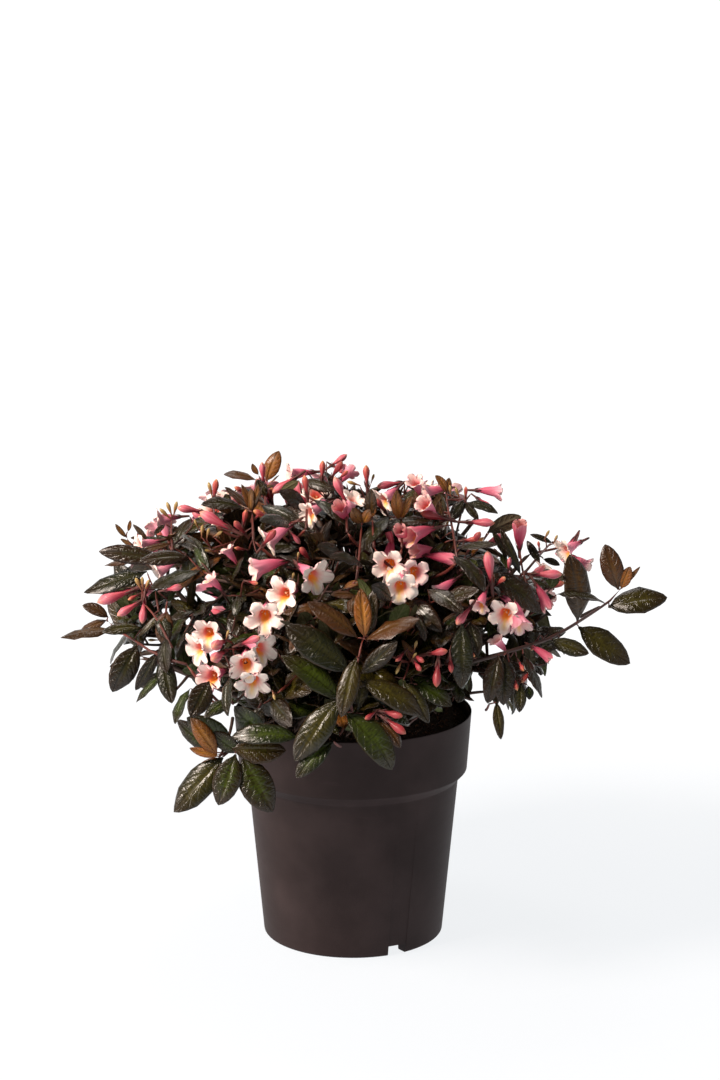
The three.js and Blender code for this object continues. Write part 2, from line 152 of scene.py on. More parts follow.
class Shader:
    # A material and its nodes
    def __init__(self, name, tree=None):
        if not tree:
            self.material = bpy.data.materials.new(name)
            self.material.use_nodes = True
        self.tree = tree or self.material.node_tree
        self.tree.nodes.clear()

    def node(self, kind, settings=None, values=()):
        made = self.tree.nodes.new("ShaderNode" + kind)
        for key, value in (settings or {}).items():
            if key == "stops":
                ramp = made.color_ramp.elements
                while len(ramp) < len(value):
                    ramp.new(0.5)
                for stop, (place, shade) in zip(ramp, value):
                    stop.position, stop.color = place, tone(shade)
            elif key == "held":
                made.color_ramp.interpolation = "CONSTANT"
            else:
                setattr(made, key, value)
        pairs = values.items() if isinstance(values, dict) else enumerate(values)
        for key, value in pairs:
            if isinstance(value, Value):
                self.tree.links.new(value.socket, made.inputs[key])
            else:
                made.inputs[key].default_value = value
        return [Value(self, socket) for socket in made.outputs]

    def ramp(self, value, low, high):
        # The value carried from low..high to 0..1, smoothly, and held beyond
        settings = {"interpolation_type": "SMOOTHSTEP", "clamp": True}
        return self.node("MapRange", settings, [value, low, high, 0.0, 1.0])[0]

    def away(self, value, middle=0.0):
        # How far a value is from the middle, on either side
        return value.sum("ABSOLUTE", value - middle if middle else value)

    def rest(self, value):
        # What is over the whole number, for what repeats
        return value.sum("FRACT", value)

    def blend(self, share, *pair):
        first, second = (tone(shade) if isinstance(shade, str) else shade for shade in pair)
        return self.node("Mix", {"data_type": "RGBA"}, {0: share, 6: first, 7: second})[2]

    def grain(self, place, scale, detail=2.0, rough=0.5):
        values = {"Vector": place, "Scale": scale, "Detail": detail, "Roughness": rough}
        return self.node("TexNoise", {}, values)[0]

    def mapped(self):
        # The piece's own map, as its vector and the two numbers in it
        place = self.node("UVMap", {"uv_map": "OFBake"})[0]
        across, along, _ = self.node("SeparateXYZ", {}, [place])
        return place, across, along

    def solid(self):
        return self.node("TexCoord")[3]

    def stretched(self, place, scale):
        return self.node("Mapping", {"vector_type": "POINT"}, {"Vector": place, "Scale": scale})[0]

    def bump(self, height, distance, strength=1.0):
        values = {"Strength": strength, "Distance": distance * mm, "Height": height}
        return self.node("Bump", {}, values)[0]

    def finish(self, colour, roughness, normal=None, **more):
        values = {"Base Color": tone(colour) if isinstance(colour, str) else colour}
        values["Roughness"] = roughness
        if normal:
            values["Normal"] = normal
        for key, value in more.items():
            values[key.replace("_", " ")] = value
        surface = self.node("BsdfPrincipled", {}, values)[0]
        self.node("OutputMaterial", {}, [surface])
        return self.material


def keep(mesh, name, material, nodes):
    # A finished mesh as a piece of the plant
    mesh.materials.append(material)
    piece = bpy.data.objects.new(name, mesh)
    bpy.context.scene.collection.objects.link(piece)
    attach(piece, "root")
    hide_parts(*nodes)


def meshOf(bm, name, smooth=True):
    bmesh.ops.scale(bm, vec=(mm, mm, mm), verts=bm.verts)
    for face in bm.faces:
        face.smooth = smooth
    mesh = bpy.data.meshes.new(name)
    bm.to_mesh(mesh)
    bm.free()
    return mesh


class Shape:
    # A small shape that is repeated: its corners, faces and map as arrays
    def __init__(self, bm):
        bmesh.ops.triangulate(bm, faces=[f for f in bm.faces if len(f.verts) > 4])
        bm.verts.index_update()
        layer = bm.loops.layers.uv.active
        self.points = np.array([v.co[:] for v in bm.verts])
        self.faces = [[v.index for v in f.verts] for f in bm.faces]
        loops = [loop for f in bm.faces for loop in f.loops]
        self.map = np.array([loop[layer].uv[:] for loop in loops])
        bm.free()


def joined(name, parts):
    # One mesh from several shapes, each with its corners for all its copies, and the one of
    # the map's four upright strips that each copy takes where they are told apart
    corners, loops, sizes, maps, count = [], [], [], [], 0
    for shape, points, *strips in parts:
        copies, many = points.shape[:2]
        base = np.concatenate([np.array(f) for f in shape.faces])
        start = count + many * np.arange(copies)[:, None]
        corners.append(points.reshape(-1, 3))
        loops.append((start + base[None]).ravel())
        sizes.append(np.tile([len(f) for f in shape.faces], copies))
        place = np.tile(shape.map, (copies, 1, 1))
        if strips:
            place[..., 0] = (place[..., 0] + strips[0][:, None]) / 4
        maps.append(place.reshape(-1, 2))
        count += copies * many
    corners, loops, sizes, maps = map(np.concatenate, (corners, loops, sizes, maps))
    mesh = bpy.data.meshes.new(name)
    mesh.vertices.add(len(corners))
    mesh.vertices.foreach_set("co", (corners * mm).astype(np.float32).ravel())
    mesh.loops.add(len(loops))
    mesh.loops.foreach_set("vertex_index", loops.astype(np.int32))
    mesh.polygons.add(len(sizes))
    starts = np.concatenate([[0], np.cumsum(sizes)[:-1]])
    mesh.polygons.foreach_set("loop_start", starts.astype(np.int32))
    mesh.polygons.foreach_set("use_smooth", np.ones(len(sizes), bool))
    mesh.update(calc_edges=True)
    layer = mesh.uv_layers.new(name="OFBake")
    layer.data.foreach_set("uv", maps.astype(np.float32).ravel())
    mesh.validate()
    return mesh


def sleeve(sides, rings, pointed=False, capped=False):
    # A tube of unit radius whose rings stand at heights 0, 1, 2 and so on
    bm = bmesh.new()
    rail = [bm.verts.new((1, 0, z)) for z in range(rings + 1)]
    edges = [bm.edges.new(pair) for pair in zip(rail, rail[1:])]
    turned = {"cent": (0, 0, 0), "axis": (0, 0, 1), "angle": math.tau, "steps": sides}
    bmesh.ops.spin(bm, geom=rail + edges, use_merge=True, **turned)
    bmesh.ops.recalc_face_normals(bm, faces=bm.faces)
    layer = bm.loops.layers.uv.new("OFBake")
    for face in bm.faces:
        middle = face.calc_center_median()
        for loop in face.loops:
            share = math.atan2(loop.vert.co.y, loop.vert.co.x) / math.tau % 1
            if share < 1e-4 and middle.y < 0:
                share = 1
            loop[layer].uv = (share, loop.vert.co.z / rings)
    for height, wanted in ((0, capped), (rings, pointed or capped)):
        if wanted:
            ring = [v for v in bm.verts if abs(v.co.z - height) < 1e-4]
            if pointed or height == rings:
                bmesh.ops.pointmerge(bm, verts=ring, merge_co=(0, 0, height))
            else:
                bmesh.ops.contextual_create(bm, geom=ring)
    return Shape(bm)


def poses(bases, ways, ups, sizes):
    # Matrices that stand a shape on its base, along its way, with +X turned towards ups
    z = unit(ways)
    y = unit(np.cross(z, ups))
    x = np.cross(y, z)
    turns = np.stack([x, y, z], axis=2) * np.asarray(sizes)[:, None, None]
    return turns, bases


def stood(points, pose):
    turns, bases = pose
    return np.einsum("nij,mj->nmi", turns, points) + bases[:, None, :]


def unit(v):
    v = np.asarray(v, float)
    return v / np.maximum(np.linalg.norm(v, axis=-1, keepdims=True), 1e-9)


def direction(azimuth, elevation):
    a, e = np.radians(azimuth), np.radians(elevation)
    return np.stack([np.cos(e) * np.cos(a), np.cos(e) * np.sin(a), np.sin(e)], axis=-1)


def randomFrom(seed):
    # The same numbers each time for the same seed, from 0 to 1
    state = seed % 2147483647

    def draw():
        nonlocal state
        state = state * 16807 % 2147483647
        return state / 2147483647

    for _ in range(3):
        draw()
    return draw


class Path:
    # A smooth curve by its control points, read by its share of the length
    def __init__(self, *controls, steps=48):
        share = np.linspace(0, 1, steps + 1)[:, None]
        layers = [np.asarray(c, float) for c in controls]
        while len(layers) > 1:
            layers = [a * (1 - share) + b * share for a, b in zip(layers, layers[1:])]
        self.measure(layers[0])

    def measure(self, points):
        self.points = points
        self.run = np.concatenate([[0], np.cumsum(np.linalg.norm(np.diff(points, axis=0), axis=1))])
        self.length = self.run[-1]
        return self

    def at(self, share):
        # The point or points at these shares of the length
        place = np.asarray(share) * self.length
        return np.stack([np.interp(place, self.run, self.points[:, k]) for k in range(3)], axis=-1)

    def wayAt(self, share):
        return unit(self.at(np.minimum(share + 0.01, 1)) - self.at(np.maximum(share - 0.01, 0)))


def pathOf(points):
    # A path that runs straight from each point to the next
    return Path(points[0], points[-1], steps=1).measure(np.asarray(points, float))


def through(points):
    # A path that passes through all the points in soft bends
    points = np.asarray(points, float)
    ends = np.vstack([2 * points[0] - points[1], points, 2 * points[-1] - points[-2]])
    bits = []
    for a, b, c, d in zip(ends, ends[1:], ends[2:], ends[3:]):
        s = np.linspace(0, 1, 9)[:, None]
        bits.append(0.5 * (2 * b + (c - a) * s + (2 * a - 5 * b + 4 * c - d) * s**2
                           + (3 * b - a - 3 * c + d) * s**3)[:-1])
    return pathOf(np.vstack([*bits, points[-1:]]))


def tubes(sides, rings, runs):
    # Tubes along paths; each run is (path, radius at its start, radius at its end)
    shape = sleeve(sides, rings, capped=True)
    ring = np.rint(shape.points[:, 2]).astype(int)
    flat = shape.points[:, :2]
    shares = np.linspace(0, 1, rings + 1)
    made = []
    for path, start, end in runs:
        line = path.at(shares)
        ways = path.wayAt(shares)
        side = sideways(ways[0])[0]
        first = []
        for way in ways:
            side = unit(side - way * side.dot(way))
            first.append(side)
        first = np.array(first)
        second = np.cross(ways, first)
        radius = start + (end - start) * shares
        made.append(line[ring] + radius[ring][:, None]
                    * (flat[:, :1] * first[ring] + flat[:, 1:] * second[ring]))
    return shape, np.array(made)


def sideways(axis):
    # Two unit vectors square to an axis and to each other
    other = np.array([1.0, 0, 0]) if abs(axis[2]) > 0.9 else up
    first = unit(np.cross(axis, other))
    return first, unit(np.cross(axis, first))


def around(axis, degrees):
    first, second = sideways(axis)
    return first * math.cos(math.radians(degrees)) + second * math.sin(math.radians(degrees))


heart = np.array([0, 0, 195.0])
hub = np.array([0, 0, 198.3])
seed = 48271
rule = {"stub": 21, "gap": 0.3, "fork": 0.5, "offset": 2.9, "lead": 0.34, "bulge": 0.16,
        "siteBack": 26, "margin": 2.5}

# The masses by the bough that carries them: azimuth and elevation, reach from the heart,
# how far the side shoots spread, how much the stem is arched, and what its own tip and
# each side shoot carry (f flowers, b buds, l young leaves).
crown = {
    "low_left": {
        "low_left_whorl": (-144, -10, 152, 18, 30, "lll"),
        "left_front": (-158, 15, 184, 34, 8, "llbl"),
    },
    "left": {
        "left_tip": (179, 15, 214, 30, 8, "llb"),
        "left_shoulder": (178, 33, 206, 36, 4, "lfbl"),
    },
    "front_left": {
        "front_left_blooms": (-119, 22, 174, 36, 6, "fffl"),
        "front_left_skirt": (-106, 4, 160, 32, 16, "llll"),
    },
    "upper_left": {
        "upper_left_blooms": (-140, 42, 178, 38, 4, "flfl"),
        "top_left": (172, 64, 172, 38, 0, "lfbl"),
    },
    "upper_front_left": {
        "upper_front_left": (-110, 44, 172, 34, 4, "flfl"),
        "top_front": (-100, 70, 172, 36, 0, "blfl"),
    },
    "front": {
        "centre_shoot": (-88, 25, 182, 28, 6, "lll"),
        "front_skirt": (-83, 3, 160, 32, 16, "lbl"),
    },
    "upper_front_right": {
        "upper_front_right": (-74, 48, 172, 34, 4, "flfl"),
        "upper_right": (-40, 48, 178, 36, 4, "lfbl"),
    },
    "front_right": {
        "front_right": (-64, 22, 170, 34, 6, "blbl"),
        "right_skirt": (-50, 8, 158, 30, 18, "lbl"),
    },
    "right": {
        "right_blooms": (-40, 27, 178, 34, 6, "ffll"),
        "right_side": (-16, 17, 172, 32, 12, "lbl"),
    },
    "far_right": {
        "long_right_shoot": (-2, 20, 234, 20, -4, "ll"),
        "right_shoulder": (-3, 40, 184, 34, 4, "lfbl"),
    },
    "top_right": {
        "top_right": (-24, 66, 172, 38, 0, "fllb"),
        "upper_back_right": (28, 50, 178, 38, 2, "lflb"),
    },
    "back_right": {
        "back_right_skirt": (32, 9, 176, 36, 12, "llbl"),
        "back_right": (50, 31, 180, 38, 4, "fllf"),
    },
    "back": {
        "back_skirt": (80, 7, 174, 36, 12, "llbl"),
        "back_blooms": (94, 31, 180, 38, 4, "flfl"),
    },
    "upper_back": {
        "upper_back": (78, 56, 174, 38, 2, "lfbl"),
        "top_back": (110, 76, 168, 38, 0, "blfl"),
    },
    "back_left": {
        "back_left_skirt": (120, 8, 176, 36, 12, "llbl"),
        "back_left": (136, 32, 180, 38, 4, "fllf"),
    },
    "left_back": {
        "left_back_skirt": (154, 11, 182, 34, 10, "lbll"),
        "upper_back_left": (132, 53, 176, 38, 2, "lflb"),
    },
}


def layOut():
    limbs, masses = [], []
    for name, carried in crown.items():
        group = []
        for massName, (azimuth, elevation, reach, spread, arch, heads) in carried.items():
            axis = direction(azimuth, elevation)
            group.append({"name": massName, "axis": axis, "reach": reach, "spread": spread,
                          "heads": heads, "arch": arch, "tip": heart + axis * reach,
                          "site": heart + axis * (reach - rule["siteBack"])})
        fork = heart + (np.mean([m["site"] for m in group], axis=0) - heart) * rule["fork"]
        way = unit(fork + up * 6 - hub)
        start = hub + way * (rule["stub"] + rule["gap"])
        bend = start + way * 0.5 * math.dist(fork, start)
        end = unit(fork - bend)
        limbs.append({"name": name, "way": way, "path": Path(start, bend, fork)})
        for mass in group:
            aim = mass["tip"] - fork
            lean = unit(aim - end * aim.dot(end))
            root = fork + end * rule["gap"] + lean * rule["offset"]
            length = math.dist(mass["tip"], root)
            near = mass["tip"] - mass["axis"] * 0.3 * length + up * mass["arch"]
            mass["stem"] = Path(root, root + end * rule["lead"] * length, near, mass["tip"])
            mass["line"] = pathOf(np.vstack([[fork - end * 6], mass["stem"].points]))
        masses += group
    return limbs, masses


limbs, masses = layOut()
sites = np.array([mass["site"] for mass in masses])


def insideCell(point, index, margin):
    # A cell is the space nearer to its own site than to any other mass's
    others = np.delete(sites, index, axis=0)
    ways = unit(others - sites[index])
    return bool(((point - (others + sites[index]) / 2) * ways).sum(axis=1).max() < -margin)


def keptInside(point, index, margin=rule["margin"]):
    for step in range(24):
        moved = point + (sites[index] - point) * step / 24
        if insideCell(moved, index, margin):
            return moved
    return sites[index]


def shootsOf(index):
    # The side shoots leave the stem in turn, bulge outwards and end round the mass's tip
    mass = masses[index]
    draw = randomFrom(seed * (index + 7))
    count = len(mass["heads"]) - 1
    phase = 360 * draw()
    low = 0.3
    while low < 0.8 and not insideCell(mass["stem"].at(low), index, rule["margin"]):
        low += 0.04
    made = []
    for i in range(count):
        side = around(mass["axis"], phase + 360 * i / count + 24 * (draw() - 0.5))
        root = mass["stem"].at(low + (0.86 - low) * (i + draw()) / count)
        back = 4 + 22 * draw()
        out = mass["spread"] * (0.8 + 0.4 * draw())
        tip = keptInside(mass["tip"] - mass["axis"] * back + side * out, index)
        middle = (root + tip) / 2 + side * rule["bulge"] * math.dist(root, tip)
        made.append(Path(root, keptInside(middle, index), tip))
    return made


# What shows on the camera's side is listed one by one. Places in the camera's frame of 720 x 1080 are
# across and down from its corner, and each point is worked out along its line of sight: either
# at a depth, which is its y, or on the crown's rounded face and so many millimetres nearer.
frameView = {"middle": (360, 540), "focal": 2620}
crownFace = {"middle": (0, 0, 200), "half": (212, 178, 178)}
drawn = {"corolla": 27, "leafWidth": 0.38, "widest": 0.5, "bud": (0.6, 1.25)}
eye = np.array(camera["place"], float)
dip = math.radians(camera["dip"])
frameAcross = np.array([1.0, 0, 0])
frameUp = np.array([0, math.sin(dip), math.cos(dip)])
frameAhead = np.array([0, math.cos(dip), -math.sin(dip)])


def rounded(point):
    return tuple(int(round(value)) for value in point)


def aimOf(way):
    # A way as whole degrees of azimuth and elevation
    x, y, z = unit(way)
    return round(math.degrees(math.atan2(y, x))), round(math.degrees(math.asin(z)))


def sightOf(across, down):
    # The way from the camera through a place in its frame
    middle = frameView["middle"]
    off = frameAcross * (across - middle[0]) + frameUp * (middle[1] - down)
    return unit(frameAhead + off / frameView["focal"])


def at(across, down, depth):
    # The point that is seen there and has this depth as its y
    way = sightOf(across, down)
    return rounded(eye + way * (depth - eye[1]) / way[1])


def onCrown(across, down, nearer=0):
    # Where the line of sight meets the crown's rounded face, or else passes closest to it
    half = np.array(crownFace["half"], float)
    way = sightOf(across, down)
    start, run = (eye - crownFace["middle"]) / half, way / half
    a, b, c = run.dot(run), 2 * start.dot(run), start.dot(start) - 1
    reach = (-b - math.sqrt(max(b * b - 4 * a * c, 0))) / (2 * a)
    return eye + way * (reach - nearer)


def leaning(base, across, down, length, lean):
    # The way from a base to an end that is so far across and down from it, with the share
    # "lean" of what the frame doesn't show of the length turned to the viewer, and the scale
    scale = frameView["focal"] / (base - eye).dot(frameAhead)
    way = (across * frameAcross - down * frameUp) / scale
    flat = np.linalg.norm(way)
    if flat < length:
        way = way - frameAhead * lean * math.sqrt(length**2 - flat**2)
    return way, scale


def shoot(nearer, *places):
    # The points of a shoot that lies on the crown
    return [rounded(onCrown(*place, nearer)) for place in places]


def bloom(across, down, nearer, turn, tilt, size):
    # A flower by the middle of its mouth, its turn in the frame and its tilt to the viewer
    turn, tilt = math.radians(turn), math.radians(tilt)
    flat = math.cos(turn) * frameAcross + math.sin(turn) * frameUp
    way = math.cos(tilt) * flat - math.sin(tilt) * frameAhead
    mouth = onCrown(across, down, nearer)
    return rounded(mouth - way * drawn["corolla"] * size), aimOf(way), size


def tubeTo(across, down, nearer, endAcross, endDown, lean, size, now=None):
    # A flower seen from its side, from its base to its mouth; "now" is its size where it
    # has another than the one that its way was taken with
    base = onCrown(across, down, nearer)
    length = drawn["corolla"] * size
    way, _ = leaning(base, endAcross - across, endDown - down, length, lean)
    return rounded(base), aimOf(way), now or size


def budTo(across, down, nearer, endAcross, endDown, lean, length, now=None):
    # A bud of this length from its base to its tip
    base = onCrown(across, down, nearer)
    way, _ = leaning(base, endAcross - across, endDown - down, length, lean)
    low, high = drawn["bud"]
    size = max(low, min(high, np.linalg.norm(way) / length))
    return rounded(base), aimOf(way), now or round(size, 2)


def head(across, down, depth, endAcross, endDown, endDepth, size=None, length=None):
    # A flower or bud between two points with depths of their own
    base = np.array(at(across, down, depth), float)
    way = np.array(at(endAcross, endDown, endDepth)) - base
    return rounded(base), aimOf(way), size or round(np.linalg.norm(way) / length, 2)


def leafTo(across, down, nearer, endAcross, endDown, lean, width, length, now=None):
    # A leaf whose face is turned as far from the viewer as the width that shows tells
    base = onCrown(across, down, nearer)
    way, scale = leaning(base, endAcross - across, endDown - down, length, lean)
    long = np.linalg.norm(way)
    share = min(1, width / (drawn["leafWidth"] * long * scale))
    towards = unit(-frameAhead + way * frameAhead.dot(way) / long**2)
    side = unit(np.cross(way, towards))
    outward = unit(base + way / 2 - crownFace["middle"])
    if side.dot(0.9 * up + 0.6 * outward) < 0:
        side = -side
    face = share * towards + math.sqrt(1 - share**2) * side
    wide = min(drawn["widest"], width / (scale * long)) if share > 0.95 else drawn["leafWidth"]
    return rounded(base), rounded(base + way), aimOf(face), now or round(wide, 2)


def leaf(across, down, depth, endAcross, endDown, endDepth, face, width):
    # A leaf between two points with depths of their own
    return at(across, down, depth), at(endAcross, endDown, endDepth), face, width


# Shoots that stand out of the crown
shownShoots = {
    "centreShoot": shoot(6, (352, 712), (350, 692), (356, 668), (361, 648), (364, 633)),
    "longShoot": shoot(0, (472, 662), (500, 654), (519, 649), (548, 639), (574, 625), (609, 601),
                       (621, 588)),
    "whorlShoot": shoot(-45, (262, 700), (252, 724), (240, 742), (229, 752)),
    "leftTipShoot": shoot(0, (186, 664), (158, 655), (138, 642), (121, 632), (108, 621)),
    "leftBudShoot": shoot(2, (172, 648), (155, 618), (142, 602)),
    "redShoot": shoot(0, (357, 580), (359, 556), (362, 524)),
    "topRightShoot": shoot(0, (458, 562), (453, 530), (448, 508), (447, 492)),
    "rightTwig": shoot(-2, (532, 596), (524, 574), (520, 548)),
    "rightTwigOver": shoot(-2, (524, 574), (538, 557), (552, 541)),
    "tuftShoot": shoot(0, (253, 540), (252, 512)),
    "browTwig": shoot(-2, (266, 515), (265, 487)),
    "forkTwig": [at(152, 556, 8), at(134, 549, 13), at(127, 538, 15)],
    "forkTwigOver": [at(166, 548, 2), at(151, 542, 8), at(147, 540, 10)],
    "pinTwig": shoot(0, (172, 550), (171, 530), (172, 518)),
    "tuftTwig": shoot(0, (374, 548), (372, 519)),
    "veeTwig": shoot(0, (402, 548), (401, 520)),
    "topTwig": shoot(0, (347, 532), (346, 503)),
    "leftBrowTwig": shoot(0, (214, 524), (214, 500)),
    "stalkTwig": shoot(-2, (306, 528), (307, 497)),
}

# Openings through which the sky shows: places in the frame and a radius on the plane y = 0,
# and after them some as x, z and radius on that plane
seenOpenings = [
    (170, 573, 4), (180, 593, 3), (209, 597, 3), (199, 587, 3), (222, 609, 3), (340, 548, 3),
    (277, 497, 5), (316, 495, 4), (455, 521, 3), (382, 494, 5), (484, 513, 4), (464, 526, 3),
    (476, 533, 3), (501, 546, 4), (531, 560, 5), (519, 570, 3), (482, 637, 3), (484, 648, 3),
    (501, 649, 3), (480, 681, 5), (529, 677, 3), (186, 690, 7), (222, 722, 6), (497, 530, 5),
    (510, 520, 5), (540, 556, 3), (553, 603, 4), (560, 610, 4), (483, 702, 5), (545, 622, 3),
    (150, 660, 5), (125, 648, 4), (455, 517, 2.5), (455, 525, 2.5), (465, 517, 3), (482, 514, 3.5),
    (465, 530, 3), (477, 535, 3), (490, 540, 4), (497, 547, 3), (510, 550, 2), (531, 562, 4),
    (532, 569, 3), (516, 571, 3), (479, 680, 4), (481, 688, 2.5), (485, 636, 3), (486, 647, 2),
    (498, 647, 2), (480, 703, 3), (562, 592, 3), (152, 640, 4), (146, 648, 2), (187, 621, 2.5),
    (200, 585, 2.5), (203, 597, 3), (212, 597, 2), (174, 668, 2), (182, 678, 4), (181, 688, 3),
    (219, 610, 2.5), (221, 693, 2.5), (225, 721, 4), (216, 722, 3), (228, 729, 3), (339, 546, 3),
    (343, 552, 2), (348, 549, 2.5), (298, 498, 4), (322, 497, 3), (281, 500, 3), (365, 487, 3),
    (384, 495, 3), (155, 707, 3), (163, 700, 2.5), (152, 716, 3), (132, 686, 3), (114, 644, 3),
    (118, 655, 2.5), (130, 543, 2.5), (137, 535, 2.5), (131, 533, 2), (186, 596, 2),
]
openings = np.array([
    *((*at(across, down, 0)[::2], radius) for across, down, radius in seenOpenings),
    (79, 343, 5), (92, 341, 5), (96, 327, 5), (111, 322, 6), (126, 309, 4), (137, 308, 5),
    (146, 299, 5), (-64, 359, 4), (-49, 361, 3), (6, 368, 4), (-8, 371, 3), (-163, 290, 4),
    (-150, 262, 4), (-108, 236, 4), (-128, 232, 4), (-85, 180, 4),
], float)

# Flowers by colour: where the corolla starts, its way as azimuth and elevation, and its size
shownFlowers = {
    "pale": [
        bloom(205, 635, 0, 225, 68, 0.98), bloom(191, 651, -6, 205, 42, 0.95),
        bloom(245, 667, 4, 268, 66, 1.05), bloom(253, 687, -4, 272, 48, 1.05),
        bloom(269, 649, -4, -12, 46, 0.98), bloom(264, 619, 0, 262, 68, 1.08),
        bloom(279.5, 593, 0, 190, 64, 1.05), bloom(320, 580, 0, -33, 44, 1.05),
        bloom(387, 567, 0, 245, 70, 1.05), bloom(401, 591, 4, 268, 60, 1.02),
        bloom(398, 576, -9, 90, 76, 0.9), bloom(503, 617, 0, 232, 64, 1.02),
        bloom(528, 610, -2, -28, 34, 0.95), bloom(560, 553, 0, 205, 28, 0.85),
        bloom(303, 515, -3, 205, 34, 0.85), bloom(153, 519, -4, 184, 6, 0.8),
        tubeTo(398, 487, -3, 383, 499, 0.5, 0.85), tubeTo(343, 517, -3, 353, 498, 0.5, 0.85),
        tubeTo(160, 541, -6, 141, 545, 0.4, 0.85), head(292, 524, -77, 267, 540, -82, 1.05),
        head(177, 560, -44, 157, 572, -50, 0.85),
    ],
    "rosy": [
        bloom(207, 677, 2, 195, 64, 1.05), bloom(250, 568, 0, 191, 22, 1.1),
        bloom(416, 574, 0, 300, 70, 1.02), bloom(523, 630, 4, -75, 28, 1),
        bloom(226, 546, -6, 120, 10, 0.6), tubeTo(575, 538, -4, 568, 550, -0.3, 0.8),
        tubeTo(571, 556, -3, 586, 564, 0.4, 0.7), tubeTo(486, 590, 0, 477, 606, 0.8, 0.7),
        tubeTo(507, 652, -8, 499, 641, 0.4, 0.6), tubeTo(222, 591, -10, 213, 580, 0.4, 0.6),
        ((-10, -22, 372), (60, 30), 0.7), ((78, -92, 312), (-150, -24), 0.76),
        (at(476, 490, 12), (-7, 0), 0.8), head(313, 472, 5, 290, 473, 0, 0.88),
        head(446, 488, -16, 427, 491, -20, 0.78), head(437, 516, -64, 423, 500, -78, 0.9),
        head(420, 495, -50, 414, 478, -60, 0.72),
    ],
    "deep": [
        tubeTo(531, 646, 0, 552, 658, 0.3, 0.85, now=0.62), (at(520, 549, -58), (-95, 62), 1),
        head(426, 555, -92, 446, 557, -96, 0.78), tubeTo(536, 583, 0, 550, 606, 0.3, 1, now=0.76),
        head(440, 552, -76, 418, 548, -90, 0.95), head(434, 528, -82, 411, 533, -100, 1.05),
        head(406, 545, -84, 400, 528, -98, 0.85), head(392, 538, -80, 390, 552, -92, 0.75),
        head(348, 524, -70, 341, 506, -84, 0.9),
    ],
}
